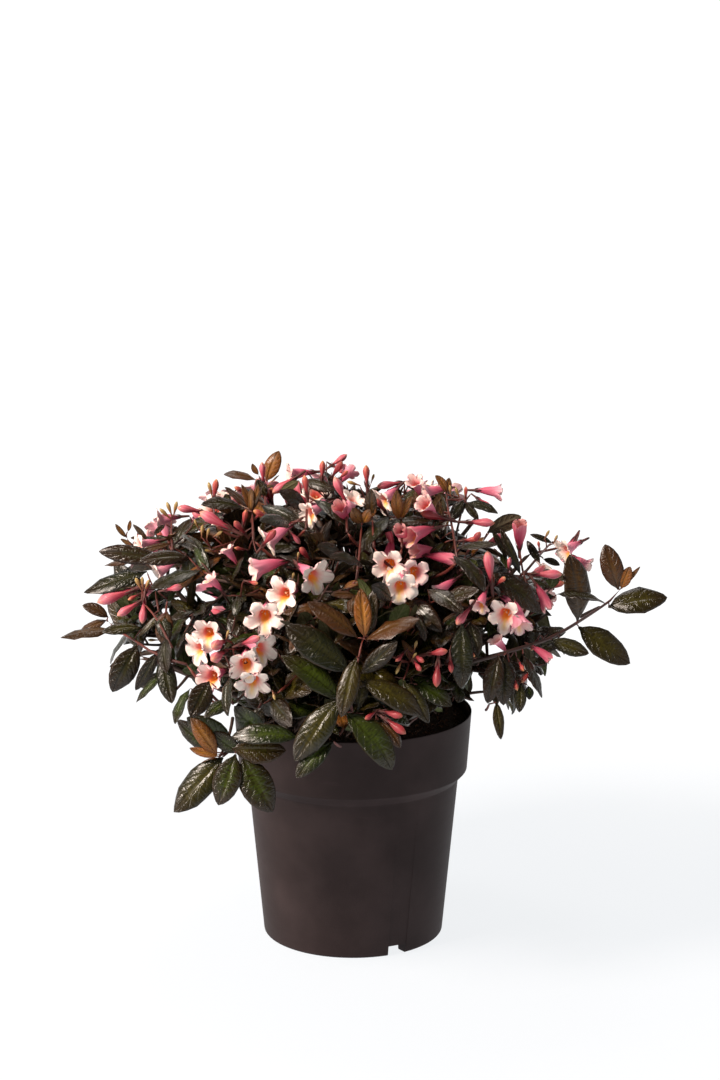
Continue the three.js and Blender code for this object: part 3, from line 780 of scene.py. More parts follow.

# Buds in the same form, by how far they are open; the red ones are painted darker for shade
shownBuds = {
    "bud": [
        budTo(240, 644, 2, 261, 636, 0.5, 25), budTo(224, 641, 3, 215, 645, 1, 25),
        budTo(224, 652, 3, 214, 658, 1, 25), budTo(491, 584, 3, 487, 550, 0.2, 25),
        budTo(471, 606, 3, 456, 624, 0.6, 25), budTo(533, 574, 0, 563, 574, 0.2, 25),
        budTo(467, 522, 2, 495, 523, 0.3, 25), budTo(402, 482, 0, 377, 486, 0.3, 25),
        budTo(346, 503, 3, 334, 477, 0.4, 25), budTo(231, 529, 3, 200, 512, 0.3, 25),
        budTo(202, 511, 0, 177, 507, 0.3, 25), budTo(134, 590, 3, 97, 603, 0.1, 25),
        budTo(140, 602, 4, 118, 616, 0.2, 25), budTo(144, 599, 4, 142, 624, 0.2, 25),
        budTo(164, 590, 0, 183, 586, 0.4, 25), (at(477, 498, -8), (-28, -30), 0.6),
        (at(508, 571, -86), (70, 68), 0.42), head(263, 482, -8, 262, 464, -8, 0.66),
        head(296, 477, -10, 275, 492, -14, 0.92), head(330, 466, 30, 346, 456, 33, 0.66),
        head(332, 465, 30, 346, 474, 30, 0.52), head(291, 532, -80, 300, 543, -84, 0.5),
        head(393, 549, -86, 389, 531, -88, 0.71),
    ],
    # Painted shade: these buds are deeper red, and darker still where shade falls on them, low on the right
    # and deep in the crown
    "shadedRed": [
        budTo(427, 654, 3, 448, 650, 0.5, 25, now=0.8), budTo(438, 661, 4, 436, 688, 0.3, 25, now=0.9),
        budTo(382, 712, 3, 403, 716, 0.5, 25, now=0.8), budTo(385, 719, 4, 407, 734, 0.5, 25, now=0.9),
        budTo(404, 652, 3, 395, 661, 0.6, 17, now=0.56), budTo(414, 654, 3, 424, 661, 0.6, 17, now=0.56),
        budTo(414, 661, 3, 421, 671, 0.6, 17, now=0.56), budTo(450, 656, 2, 451, 672, 0.3, 17, now=0.58),
        budTo(375, 712, 3, 364, 719, 0.6, 17, now=0.56), head(446, 519, -72, 418, 512, -80, 1),
        head(331, 478, -10, 341, 464, -12, 0.75), head(262, 546, -96, 275, 531, -100, 0.8),
        head(310, 560, -96, 300, 548, -102, 0.7), head(245, 533, -78, 236, 523, -84, 0.7),
        head(470, 548, -84, 478, 535, -88, 0.75), head(385, 512, -60, 376, 499, -66, 0.7),
    ],
    "half": [
        budTo(248, 582, 0, 259, 584, 0.5, 17), budTo(497, 584, 2, 506, 576, 0.6, 17),
        budTo(462, 541, 0, 478, 539, 0.3, 17), budTo(307, 496, 0, 304, 474, 0, 17),
        budTo(322, 480, 0, 323, 459, 0, 17), budTo(338, 479, 0, 348, 470, 0.3, 17),
        budTo(367, 486, 0, 366, 463, 0, 17), budTo(268, 518, 2, 252, 510, 0.5, 17),
        budTo(214, 499, 0, 217, 477, 0, 17), budTo(247, 493, 0, 234, 486, 0.3, 17),
        budTo(139, 594, 4, 128, 600, 0.4, 17), budTo(519, 662, 0, 524, 672, 0.5, 17),
        budTo(513, 675, 0, 518, 691, 0.3, 17), budTo(529, 678, 0, 542, 688, 0.3, 17),
        budTo(530, 671, 0, 520, 683, 0.3, 17), budTo(538, 640, 0, 531, 651, 0.3, 17),
        budTo(468, 650, 0, 475, 657, 0.4, 17), (at(539, 550, -36), (110, 70), 0.45),
        (at(466, 499, -27), (95, 77), 0.6), head(146, 593, -62, 148, 580, -62, 0.66),
        head(243, 526, -60, 247, 508, -60, 0.85), head(254, 519, -62, 263, 510, -64, 0.6),
        head(244, 549, -84, 235, 548, -88, 0.55),
    ],
    "small": [
        budTo(297, 560, 0, 298, 553, 0.5, 9), budTo(292, 580, 0, 294, 573, 0.5, 9),
        budTo(371, 483, 0, 374, 474, 0, 9), budTo(213, 497, 0, 209, 482, 0, 9),
        budTo(171, 519, 0, 158, 507, 0, 9), budTo(172, 516, 0, 166, 500, 0, 9),
        budTo(173, 516, 0, 177, 499, 0, 9), budTo(142, 590, 0, 136, 578, 0.3, 9),
        budTo(143, 590, 0, 142, 578, 0.3, 9), budTo(144, 591, 0, 149, 580, 0.3, 9),
        budTo(402, 661, 3, 397, 673, 0.6, 9), budTo(414, 652, 2, 417, 642, 0.4, 9),
        budTo(411, 660, 2, 416, 653, 0.5, 9), budTo(272, 690, 0, 275, 699, 0.6, 9),
        budTo(378, 642, 0, 380, 634, 0.6, 9), budTo(460, 499, 0, 456, 488, 0, 9),
        budTo(465, 500, 0, 466, 488, 0, 9), budTo(451, 497, 0, 450, 486, 0, 9),
        budTo(225, 641, 0, 228, 631, 0.4, 9), budTo(544, 540, 0, 549, 531, 0, 9),
        budTo(553, 545, 0, 557, 536, 0, 9), head(201, 538, -58, 203, 527, -60, 1.15),
        head(207, 539, -62, 209, 529, -62, 0.95), head(213, 538, -64, 222, 532, -66, 1),
        head(199, 529, -42, 193, 518, -42, 0.85), head(213, 552, -74, 205, 550, -78, 0.8),
        head(361, 485, -36, 348, 482, -36, 1.1), head(445, 527, -60, 448, 521, -62, 0.7),
        head(441, 540, -74, 436, 534, -76, 0.7), head(451, 550, -84, 457, 546, -86, 0.7),
    ],
}

# Leaves by tint: base, tip, which way the face looks, and width for their length
shownLeaves = {
    "dark": [
        leafTo(201, 570, 3, 151, 588, 0.4, 10, 48), leafTo(244, 509, 0, 202, 505, 0.3, 9, 48),
        leafTo(262, 505, 4, 298, 522, 0.4, 12, 48), leafTo(289, 523, -2, 262, 521, 0.8, 15, 48),
        leafTo(304, 480, 0, 335, 491, 0.3, 13, 48), leafTo(315, 500, 4, 357, 533, 0.6, 15, 48),
        leafTo(363, 568, 0, 330, 556, 0.6, 10, 48), leafTo(434, 522, 5, 366, 537, 0.3, 10, 48),
        leafTo(389, 516, 2, 361, 553, 0.6, 15, 48), leafTo(453, 556, 5, 483, 592, 0.6, 13, 48),
        leafTo(557, 594, 6, 604, 604, 0.3, 11, 48), leafTo(523, 655, 3, 542, 697, 0.2, 11, 48),
        leafTo(349, 672, 2, 286, 626, 0.2, 26, 48), leafTo(361, 674, -4, 397, 640, 0.4, 20, 48),
        leafTo(231, 676, 2, 229, 715, 0.4, 11, 48), leafTo(166, 637, 2, 168, 672, 0.2, 11, 48),
        leafTo(158, 611, 0, 170, 641, 0.3, 16, 48), leafTo(418, 616, 0, 424, 640, 0.4, 10, 48),
        leafTo(392, 600, -4, 372, 585, 0.5, 12, 48), leafTo(345, 560, -4, 318, 546, 0.6, 12, 48),
        leafTo(440, 600, 0, 478, 590, 0.5, 15, 48), leafTo(428, 590, -2, 462, 613, 0.6, 16, 48),
        leaf(487, 533, -60, 522, 516, -62, (85, 28), 0.42),
        leaf(492, 528, -50, 507, 558, -52, (-90, 10), 0.2),
        leaf(521, 575, -80, 500, 527, -72, (-90, 5), 0.16),
        leaf(459, 549, -100, 498, 544, -108, (-120, 50), 0.26),
        leaf(493, 573, -98, 541, 613, -102, (-80, 40), 0.4),
        leaf(464, 500, -38, 450, 520, -48, (-92, 20), 0.52),
        leaf(464, 502, -38, 478, 520, -46, (-90, 25), 0.34),
        leaf(468, 503, -38, 498, 513, -46, (-90, 38), 0.3),
        leaf(540, 563, -60, 527, 541, -52, (-90, 12), 0.3),
        leaf(543, 559, -50, 560, 566, -50, (-92, 25), 0.36),
        leaf(553, 543, 17, 530, 534, 18, (-70, 40), 0.26),
        leaf(530, 579, -78, 552, 589, -86, (-90, 35), 0.2),
        leaf(560, 638, -99, 548, 627, -100, (-88, 12), 0.6),
        leaf(500, 655, -140, 487, 703, -152, (-95, 14), 0.42),
        leaf(503, 656, -138, 504, 706, -150, (-80, 14), 0.42),
        leaf(508, 660, -136, 511, 693, -146, (-75, 14), 0.42),
        leaf(462, 624, -144, 461, 689, -157, (-90, 8), 0.32),
        leaf(470, 622, -137, 479, 656, -150, (-84, 20), 0.44),
        leaf(209, 681, -148, 191, 717, -167, (-88, 14), 0.5),
        leaf(163, 560, -50, 98, 552, -50, (-82, 38), 0.31),
        leaf(188, 557, -78, 140, 561, -88, (-80, 40), 0.36),
        leaf(147, 571, -49, 83, 593, -52, (-100, 42), 0.3),
        leaf(164, 657, -118, 172, 703, -134, (-92, 12), 0.4),
        leaf(138, 646, -96, 113, 692, -106, (-95, 12), 0.46),
        leaf(158, 652, -108, 136, 690, -112, (-80, 12), 0.28),
        leaf(165, 524, 0, 154, 534, 0, (-92, 20), 0.4), leaf(305, 508, -57, 279, 492, -70, (-82, 30), 0.5),
        leaf(405, 481, -28, 420, 489, -30, (-90, 25), 0.5),
        leaf(238, 744, -128, 263, 708, -140, (-86, 16), 0.46),
    ],
    "bronze": [
        leafTo(131, 562, 0, 104, 566, 0, 6, 44), leafTo(108, 617, 0, 82, 605, 0.1, 9, 44),
        leafTo(113, 630, 0, 60, 638, 0, 9, 44), leafTo(257, 480, 0, 224, 475, 0.1, 6, 44),
        leafTo(252, 511, 0, 263, 487, 0.2, 8, 44), leafTo(250, 508, 0, 225, 487, 0.2, 7, 44),
        leafTo(578, 621, 4, 570, 554, 0.1, 21, 44), leafTo(618, 590, 0, 605, 544, 0.1, 21, 44),
        leafTo(358, 638, 6, 307, 602, 0.4, 15, 44), leafTo(366, 640, 6, 420, 618, 0.4, 12, 44),
        leafTo(378, 720, 0, 400, 748, 0.2, 10, 44), leaf(371, 518, -84, 371, 489, -91, (-90, 4), 0.36),
        leaf(148, 541, 10, 132, 524, 14, (-92, 12), 0.24),
        leaf(144, 540, 12, 130, 538, 14, (-92, 12), 0.24),
        leaf(168, 611, -98, 161, 643, -104, (-95, 12), 0.42),
        leaf(107, 620, -35, 78, 634, -40, (-110, 45), 0.32),
        leaf(172, 543, -30, 138, 551, -32, (-90, 30), 0.18),
    ],
    "copper": [
        leafTo(251, 511, 2, 252, 489, 0.3, 8, 24), leafTo(362, 523, 4, 353, 508, 0.4, 10, 24),
        leafTo(363, 523, 4, 370, 510, 0.4, 8, 24), leafTo(447, 494, 0, 435, 475, 0, 7, 24),
        leafTo(446, 493, 0, 449, 478, 0, 6, 24), leaf(621, 589, 4, 630, 566, 4, (-95, 15), 0.42),
        leaf(622, 587, 4, 640, 567, 4, (-95, 10), 0.16),
        leaf(222, 757, -121, 190, 779, -122, (-92, 16), 0.38),
        leaf(266, 481, 29, 279, 451, 33, (-96, 14), 0.4), leaf(259, 475, 20, 252, 464, 20, (-96, 14), 0.42),
        leaf(251, 510, -54, 241, 484, -56, (-70, 12), 0.26),
        leaf(253, 509, -54, 259, 484, -57, (-105, 12), 0.26),
        leaf(127, 538, 15, 115, 524, 16, (-92, 12), 0.24),
        leaf(134, 547, 14, 121, 539, 15, (-92, 12), 0.26), leaf(128, 531, 15, 130, 520, 16, (-92, 12), 0.3),
        leaf(370, 518, -85, 374, 502, -90, (-110, 5), 0.42),
        leaf(399, 519, -82, 397, 490, -90, (-88, 4), 0.34),
        leaf(401, 519, -82, 412, 496, -88, (-120, 4), 0.24),
    ],
    "olive": [
        leafTo(356, 657, 10, 341, 717, 0.4, 23, 48), leafTo(340, 699, 4, 295, 761, 0.2, 27, 48),
        leafTo(403, 682, 0, 429, 722, 0.2, 18, 48), leaf(608, 607, 3, 668, 597, 3, (-96, 42), 0.46),
        leaf(578, 627, -74, 630, 664, -78, (-82, 25), 0.42),
        leaf(552, 640, -106, 589, 654, -113, (-92, 35), 0.42),
        leaf(521, 684, -140, 519, 713, -148, (-88, 10), 0.4),
        leaf(368, 636, -158, 374, 589, -152, (-112, 6), 0.3),
        leaf(223, 757, -124, 174, 812, -134, (-98, 12), 0.44),
        leaf(232, 750, -126, 286, 750, -129, (-92, 12), 0.44),
        leaf(142, 628, -89, 101, 632, -98, (-85, 50), 0.36),
        leaf(163, 613, -93, 138, 637, -97, (-95, 25), 0.24),
        leaf(134, 549, 0, 125, 549, 0, (-90, 12), 0.65),
        leaf(266, 497, -30, 257, 479, -31, (-92, 14), 0.55),
        leaf(228, 504, -22, 225, 494, -22, (-92, 14), 0.7),
        leaf(299, 480, -52, 281, 491, -55, (90, -10), 0.42),
        leaf(444, 543, -88, 430, 554, -91, (-95, 20), 0.4),
        leaf(497, 702, -147, 501, 740, -158, (-88, 8), 0.28),
        leafTo(361, 681, 6, 422, 715, 0.3, 19, 44, now=0.36),
    ],
    "green": [
        leafTo(341, 700, -2, 281, 656, 0.2, 25, 49), leafTo(346, 713, 8, 392, 770, 0.2, 23, 49),
        leafTo(333, 742, 0, 296, 778, 0.2, 18, 49), leafTo(264, 734, -6, 234, 706, 0.2, 20, 49),
        leafTo(230, 700, -4, 205, 717, 0.3, 13, 49), leafTo(190, 688, -6, 176, 723, 0.2, 8, 49),
        leafTo(161, 675, 0, 136, 702, 0.1, 11, 49), leaf(528, 686, -135, 530, 700, -138, (-88, 12), 0.6),
        leaf(233, 746, -122, 187, 717, -123, (-85, 10), 0.44),
        leaf(215, 752, -114, 177, 720, -112, (-92, 8), 0.42),
        leaf(236, 754, -129, 218, 806, -139, (-91, 14), 0.46),
        leaf(243, 756, -128, 273, 812, -137, (-90, 12), 0.48),
        leaf(299, 738, -174, 231, 737, -172, (-88, 48), 0.36),
        leaf(240, 752, -124, 213, 733, -125, (-88, 16), 0.5),
        leaf(229, 702, -140, 208, 715, -146, (-86, 26), 0.44),
    ],
    "orange": [
        leaf(364, 638, -163, 361, 588, -157, (-76, 8), 0.36),
        leaf(217, 755, -128, 190, 718, -124, (-80, 16), 0.36),
        leaf(218, 756, -128, 189, 748, -126, (-88, 10), 0.28),
    ],
}

# The crown's lower and upper edges on the plane y = 0, for what the rule grows, and how far
# that goes to the sides
aside = (-196, 170)
hem = np.array([
    (-260, 246), (-233, 243), (-206, 240), (-196, 206), (-150, 198), (-100, 194), (-92, 172),
    (-60, 164), (-10, 160), (36, 164), (60, 176), (90, 190), (111, 190), (119, 170), (125, 170),
    (133, 190), (150, 198), (159, 228), (216, 226), (225, 262), (260, 268),
], float)
brow = np.array([
    (-260, 240), (-233, 246), (-213, 284), (-194, 312), (-184, 330), (-165, 331), (-155, 345),
    (-117, 350), (-108, 366), (-70, 374), (-23, 378), (-4, 369), (24, 367), (72, 368), (109, 362),
    (121, 354), (138, 326), (176, 322), (205, 308), (224, 296), (244, 280), (260, 270),
], float)

def screen(points):
    # Where the lines from the camera through the points meet the plane y = 0
    share = -eye[1] / (points[..., 1] - eye[1])
    return eye[[0, 2]] + (points[..., [0, 2]] - eye[[0, 2]]) * share[..., None]


def guardsOf(points, radius, behind):
    # Round spots in view that nothing grown by the rule may cover, also from a little behind
    points = np.asarray(points, float)
    return np.column_stack([screen(points), points[:, 1] + behind, np.full(len(points), radius)])


guards = []


def inView(points):
    # Whether the points would cover a guarded spot or close an opening
    spots = screen(points)
    offset = np.linalg.norm(spots[:, None] - openings[None, :, :2], axis=2)
    if (offset < openings[:, 2]).any():
        return False
    behindPot = (points[:, 1] > 0) & (np.abs(spots[:, 0]) < clear["behindPot"])
    if spots[:, 0].min() < aside[0] or spots[:, 0].max() > aside[1]:
        return False
    low = np.interp(spots[:, 0], *hem.T)
    high = np.interp(spots[:, 0], *brow.T)
    if (((spots[:, 1] < low) & ~behindPot) | (spots[:, 1] > high)).any():
        return False
    offset = np.linalg.norm(spots[:, None] - guards[None, :, :2], axis=2)
    return not ((offset < guards[:, 3]) & (points[:, None, 1] < guards[:, 2])).any()


def shownPart(path):
    # The path without an end that would stand out bare over the plant's outline
    seen = [inView(point[None]) for point in path.points]
    if seen[-1] or True not in seen:
        return path
    count = max(len(seen) - seen[::-1].index(True), len(seen) // 3)
    return pathOf(path.points[:count])


clear = {"rim": 187, "ground": 4, "wall": 97.5, "behindPot": 84}


def clearOfPot(points):
    # Beside the pot and off the ground, or over its rim
    flat = np.hypot(points[:, 0], points[:, 1])
    beside = (points[:, 2] > clear["ground"]) & (flat > clear["wall"])
    return bool(((points[:, 2] > clear["rim"]) | beside).all())


class Crowd:
    # Points in cells, to keep new ones apart from them
    def __init__(self, apart):
        self.apart, self.cells = apart, {}

    def keyOf(self, point):
        return tuple(np.floor(point / self.apart).astype(int))

    def takes(self, point):
        for step in itertools.product((-1, 0, 1), repeat=3):
            key = tuple(a + b for a, b in zip(self.keyOf(point), step))
            if any(math.dist(point, other) < self.apart for other in self.cells.get(key, ())):
                return False
        return True

    def add(self, point):
        self.cells.setdefault(self.keyOf(point), []).append(tuple(point))


# Each level of the growth: radii, how many branches it bears and between which shares of
# its length, how long they are, and the nodes that bear leaves, counted from its tip.
levels = [
    {"radii": (2.6, 1.4), "branches": 5, "from": 0.36, "length": (34, 56), "nodes": 6, "spacing": 15},
    {"radii": (1.4, 0.9), "branches": 2, "from": 0.34, "length": (24, 40), "nodes": 5, "spacing": 14},
    {"radii": (0.95, 0.65), "branches": 1, "from": 0.4, "length": (16, 24), "nodes": 3,
     "spacing": 12.5},
    {"radii": (0.7, 0.5), "branches": 0, "from": 0, "length": (0, 0), "nodes": 2, "spacing": 11},
]
twigSpread = {"least": 36, "more": 24, "turn": 137.5, "outward": 0.2, "upward": 0.12, "until": 0.92}


def twigOf(path, level, index, head="l"):
    return {"path": path, "level": level, "mass": index, "head": head}


def growTwigs():
    twigs = []
    for index, mass in enumerate(masses):
        twigs.append(twigOf(mass["line"], 0, index, mass["heads"][0]))
        for path, head in zip(shootsOf(index), mass["heads"][1:]):
            twigs.append(twigOf(path, 1, index, head))
    return twigs


def branched(twigs, numbers):
    # The stems and shoots with finer twigs on them, and finer ones on those
    whole = []
    for index, mass in enumerate(masses):
        grown = [twig for twig in twigs if twig["mass"] == index]
        for parent in grown:
            plan = levels[parent["level"]]
            phase = 360 * numbers.random()
            for i in range(plan["branches"]):
                span = twigSpread["until"] - plan["from"]
                share = plan["from"] + span * (i + 0.2 + 0.6 * numbers.random()) / plan["branches"]
                root, way = parent["path"].at(share), parent["path"].wayAt(share)
                side = around(way, phase + twigSpread["turn"] * i)
                angle = math.radians(twigSpread["least"] + twigSpread["more"] * numbers.random())
                pull = twigSpread["outward"] * unit(root - heart) + twigSpread["upward"] * up
                aim = unit(way * math.cos(angle) + side * math.sin(angle) + pull)
                low, high = plan["length"]
                length = low + (high - low) * numbers.random()
                tip = keptInside(root + aim * length, index, 0.5)
                most = mass["reach"] + 5
                if math.dist(tip, heart) > most:
                    tip = heart + unit(tip - heart) * most
                if math.dist(tip, root) < 0.45 * length:
                    continue
                bend = (root + tip) / 2 + (side - 0.4 * up) * 0.12 * length
                path = Path(root, bend, tip, steps=12)
                if clearOfPot(path.points[3:]) and inView(path.points):
                    grown.append(twigOf(path, parent["level"] + 1, index))
        whole += grown
    return whole


# Leaves by the rule: their size and slant at each node from a twig's tip, how far apart their
# middles stay, and the turns and lengths that are tried until one has room
leafPlan = {"length": 54, "apart": 12.5, "size": [0.5, 0.84, 1.0, 1.04, 1.0, 0.96],
            "angle": [30, 50, 62, 70, 74, 76], "youngOver": 290, "young": (0.45, 0.12),
            "tries": [(0, 1), (22, 0.95), (-22, 0.95), (40, 0.8), (-40, 0.75)]}

# Shares of the tints by height, from the skirt to the top
bandTops = {"skirt": 225, "middle": 322, "top": 1000}
tintShares = {
    "skirt": {"green": 0.44, "olive": 0.28, "dark": 0.28},
    "middle": {"green": 0.3, "olive": 0.19, "dark": 0.47, "bronze": 0.04},
    "top": {"green": 0.03, "olive": 0.13, "dark": 0.42, "bronze": 0.35, "copper": 0.07},
}


def tintOf(height, numbers):
    shares = tintShares[next(band for band, top in bandTops.items() if height < top)]
    return str(numbers.choice(list(shares), p=list(shares.values())))


def outlineOf(base, way, face, length, width, arc):
    # Points over a bent leaf, in rows of five, with its tip as the last
    side = unit(np.cross(way, face))
    shares = np.linspace(0.12, 1, 9)
    halves = np.interp(shares, *np.array(leafRows).T) * width * length / 2
    rise = length * arc / 2 * shares * (1 - shares)
    middle = base + way * length * shares[:, None] + face * rise[:, None]
    across = np.array([-0.9, -0.45, 0.45, 0.9, 0])[None, :, None]
    return (middle[:, None] + side * halves[:, None, None] * across).reshape(-1, 3)


def ruleLeaves(twigs, crowd, numbers):
    wanted = []
    for twig in twigs:
        plan, path = levels[twig["level"]], twig["path"]
        phase = 180 * numbers.random()
        tint = tintOf(path.at(1)[2], numbers)
        high, low = leafPlan["young"]
        young = numbers.random() < (high if path.at(1)[2] > leafPlan["youngOver"] else low)
        for node in range(plan["nodes"]):
            share = 1 - (node * plan["spacing"] + 1.5) / path.length
            if share < 0.12 or (node == 0 and twig["head"] != "l"):
                continue
            root, way = path.at(share), path.wayAt(share)
            for pair in (0, 1):
                turn = phase + 90 * node + 180 * pair + 24 * (numbers.random() - 0.5)
                angle = leafPlan["angle"][node] + 22 * (numbers.random() - 0.5)
                size = leafPlan["length"] * leafPlan["size"][node] * (0.86 + 0.28 * numbers.random())
                shade = tint
                if node == 0 and young:
                    shade = "copper" if numbers.random() < 0.5 else "bronze"
                wanted.append({"root": root, "tangent": way, "turn": turn, "angle": angle,
                               "length": size, "tint": shade, "mass": twig["mass"],
                               "width": 0.42 + 0.07 * numbers.random(),
                               "arc": 0.3 + 0.9 * numbers.random()})
    # The outermost leaves are placed first
    far = [math.dist(w["root"] + around(w["tangent"], w["turn"]) * 0.6 * w["length"], heart)
           for w in wanted]
    kept = []
    for place in np.argsort(-np.array(far), kind="stable"):
        want = wanted[place]
        reach = masses[want["mass"]]["reach"]
        for turn, share in leafPlan["tries"]:
            side = around(want["tangent"], want["turn"] + turn)
            angle = math.radians(want["angle"])
            way = unit(want["tangent"] * math.cos(angle) + side * math.sin(angle) - 0.12 * up)
            face = unit(0.7 * want["tangent"] + 0.6 * up)
            face = unit(face - way * face.dot(way))
            length = share * want["length"]
            points = outlineOf(want["root"], way, face, length, want["width"], want["arc"])
            middle = want["root"] + way * length * 0.55
            if not clearOfPot(points) or not insideBox(points):
                continue
            if math.dist(points[-1], heart) > reach + 16:
                continue
            if not crowd.takes(middle) or not inView(points):
                continue
            crowd.add(middle)
            row = (want["root"], way, face, length, want["width"], want["arc"])
            kept.append((want["tint"], row))
            break
    return kept


def insideBox(points, spare=4.0):
    low, high = np.array(cadBox[0]) / mm - spare, np.array(cadBox[1]) / mm + spare
    return bool(((points > low) & (points < high)).all())


def leafShape():
    # A leaf of few faces: x runs across from -1 to 1 and y from its stalk to its tip, with
    # a coarser sheet for the underside
    shapes = []
    for across, flip in ((4, False), (2, True)):
        bm = bmesh.new()
        bmesh.ops.create_grid(bm, x_segments=across, y_segments=9, size=1)
        layer = bm.loops.layers.uv.new("OFBake")
        for face in bm.faces:
            for loop in face.loops:
                x, y = loop.vert.co.x, loop.vert.co.y
                row = leafRows[round((y + 1) * 4.5)][0]
                loop[layer].uv = ((x + 1) / 4 + (0.5 if flip else 0), row)
        for vert in bm.verts:
            vert.co.y = leafRows[round((vert.co.y + 1) * 4.5)][0]
            vert.co.z = -1 if flip else 1
        last = [v for v in bm.verts if v.co.y > 0.999]
        bmesh.ops.pointmerge(bm, verts=last, merge_co=(0, 1, last[0].co.z))
        if flip:
            bmesh.ops.reverse_faces(bm, faces=bm.faces)
        shapes.append(Shape(bm))
    return shapes


# How far each row of a leaf's corners is along it, and its share of the full width
leafRows = [(0, 0.07), (0.05, 0.16), (0.14, 0.52), (0.28, 0.85), (0.42, 1.0), (0.57, 1.0),
            (0.72, 0.88), (0.85, 0.62), (0.95, 0.3), (1, 0)]


def leafPoints(shape, rows, numbers):
    # The shape bent, folded and turned for each leaf, all at once
    count = len(rows)
    bases, ways, faces = (np.array([row[k] for row in rows]) for k in (0, 1, 2))
    length, width, arc = (np.array([row[k] for row in rows])[:, None] for k in (3, 4, 5))
    ranges = ((0.3, 0.68), (-0.5, 0.5), (0.04, 0.13), (-0.3, 0.3), (0.85, 1.5))
    fold, twist, wave, lean, curl = (numbers.uniform(*ends, (count, 1)) for ends in ranges)
    phase = numbers.uniform(0, 6.28, (count, 1))
    s, t = shape.points[:, 0], shape.points[:, 1]
    under = shape.points[:, 2] < 0
    shares = np.array(leafRows)
    half = np.interp(t, shares[:, 0], shares[:, 1]) * width * length / 2
    across = s * half * np.cos(fold) + lean * 8 * t * (1 - t)
    height = half * np.sin(fold) * (np.abs(s) - curl * s**2)
    wavy = np.sin(2 * np.pi * 2.4 * t + phase + 1.5 * np.sign(s))
    height = height + wave * half * np.abs(s) * wavy
    height = height - 0.35 * under * (1 - np.abs(s))
    turn = twist * t
    across, height = (across * np.cos(turn) - height * np.sin(turn),
                      across * np.sin(turn) + height * np.cos(turn))
    whole = length * arc / (2 * np.sin(arc / 2))
    a = arc * t
    x = -(1 - np.cos(a)) / arc * whole + height * np.cos(a)
    z = np.sin(a) / arc * whole + height * np.sin(a)
    x, z = x * np.cos(arc / 2) + z * np.sin(arc / 2), z * np.cos(arc / 2) - x * np.sin(arc / 2)
    side = unit(np.cross(ways, faces))
    facing = np.cross(side, ways)
    return (bases[:, None] + x[..., None] * facing[:, None] + across[..., None] * side[:, None]
            + z[..., None] * ways[:, None])


# The upper side's four shades, what they turn to by the midrib and towards the tip, the
# underside and the roughness of each tint
leafTints = {
    "dark": (("#1b140a", "#20170b", "#17190b", "#27180c"), "#2c2c12", "#2a1c0f", "#3f3826", 0.22),
    "green": (("#1c230b", "#191f0b", "#23280c", "#231c0b"), "#39460f", "#2a1c0f", "#4a5228", 0.22),
    "olive": (("#251f09", "#2b220a", "#201f09", "#30210a"), "#403b0e", "#2a1c0f", "#4c482a", 0.22),
    "bronze": (("#38200e", "#42260f", "#30200e", "#4a2a10"), "#503816", "#30200f", "#5a4028", 0.3),
    "copper": (("#5f3511", "#6c3d14", "#523312", "#784518"), "#8a5c1e", "#4c3414", "#7d5430", 0.42),
    "orange": (("#7c4610", "#824a12", "#74420f", "#8a5014"), "#a06a20", "#33240f", "#7a4c26", 0.34),
}


def leafMaterial(name, shades, core, end, under, roughness):
    shader = Shader(name)
    place, across, along = shader.mapped()
    cells = across * 4
    shade = cells.sum("FLOOR", cells)
    local = cells - shade
    upper = local.sum("LESS_THAN", local, 0.5)
    across = (local * 2).sum("FRACT", local * 2) * 2 - 1
    out = shader.away(across)
    stops = [(0.25 * i, colour) for i, colour in enumerate(shades)]
    top = shader.node("ValToRGB", {"stops": stops, "held": True}, [shade / 4 + 0.05])[0]
    cloud = shader.grain(place, 30)
    veins = (along - out * 0.25 + (cloud - 0.5) * 0.07) * 6.5
    between = (shader.rest(veins) - 0.5) * 2
    vein = shader.ramp(shader.away(between), 0.7, 0.98) * shader.ramp(out, 0.98, 0.6)
    rib = shader.ramp(out, 0.11, 0.02)
    line = vein.sum("MAXIMUM", vein * 0.7, rib)
    patch = shader.ramp(out, 0.85, 0.1) * shader.ramp(along, 0.0, 0.3) * shader.ramp(along, 0.95, 0.6)
    top = shader.blend(patch * shader.ramp(cloud, 0.3, 0.6) * 0.8, top, core)
    top = shader.blend(line * 0.09, top, under)
    top = shader.blend(shader.ramp(out, 0.86, 1.0) * 0.3, top, "#3c1d0e")
    top = shader.blend(shader.ramp(along, 0.5, 1.0) * 0.6, top, end)
    below = shader.blend(line * 0.4, under, "#7d7458")
    colour = shader.blend(upper, below, top)
    pillow = 1 - shader.away(between) ** 4
    height = (pillow * 0.7 + cloud * 1.8) * shader.ramp(out, 0.04, 0.3) * shader.ramp(out, 1.0, 0.85)
    rough = upper * (roughness - 0.62) + 0.6 + cloud * 0.08
    bump = shader.bump(height * (upper * 2 - 1), 0.5)
    return shader.finish(colour, rough, bump, Coat_Weight=upper * 0.2, Coat_Roughness=0.2,
                         Specular_IOR_Level=0.3)


# A corolla is a funnel of 30 columns with five lobes; the clefts between them lie at every
# sixth column. Each ring of the tube is its height and radius, and each ring of a lobe how
# far it is out from the mouth, its height over it, half its width and how far the cleft is.
tube = [(0, 1.6), (4.0, 2.0), (9.0, 3.5), (14.0, 4.5), (18.5, 5.0)]
lobe = [(2.6, 1.9, 4.0, 1.7), (5.3, 3.1, 5.3, 2.5), (7.8, 3.7, 5.0, 3.0), (9.8, 3.5, 2.8, 3.1)]
corollaSize = {"columns": 30, "kinds": 8, "thickness": 0.45}


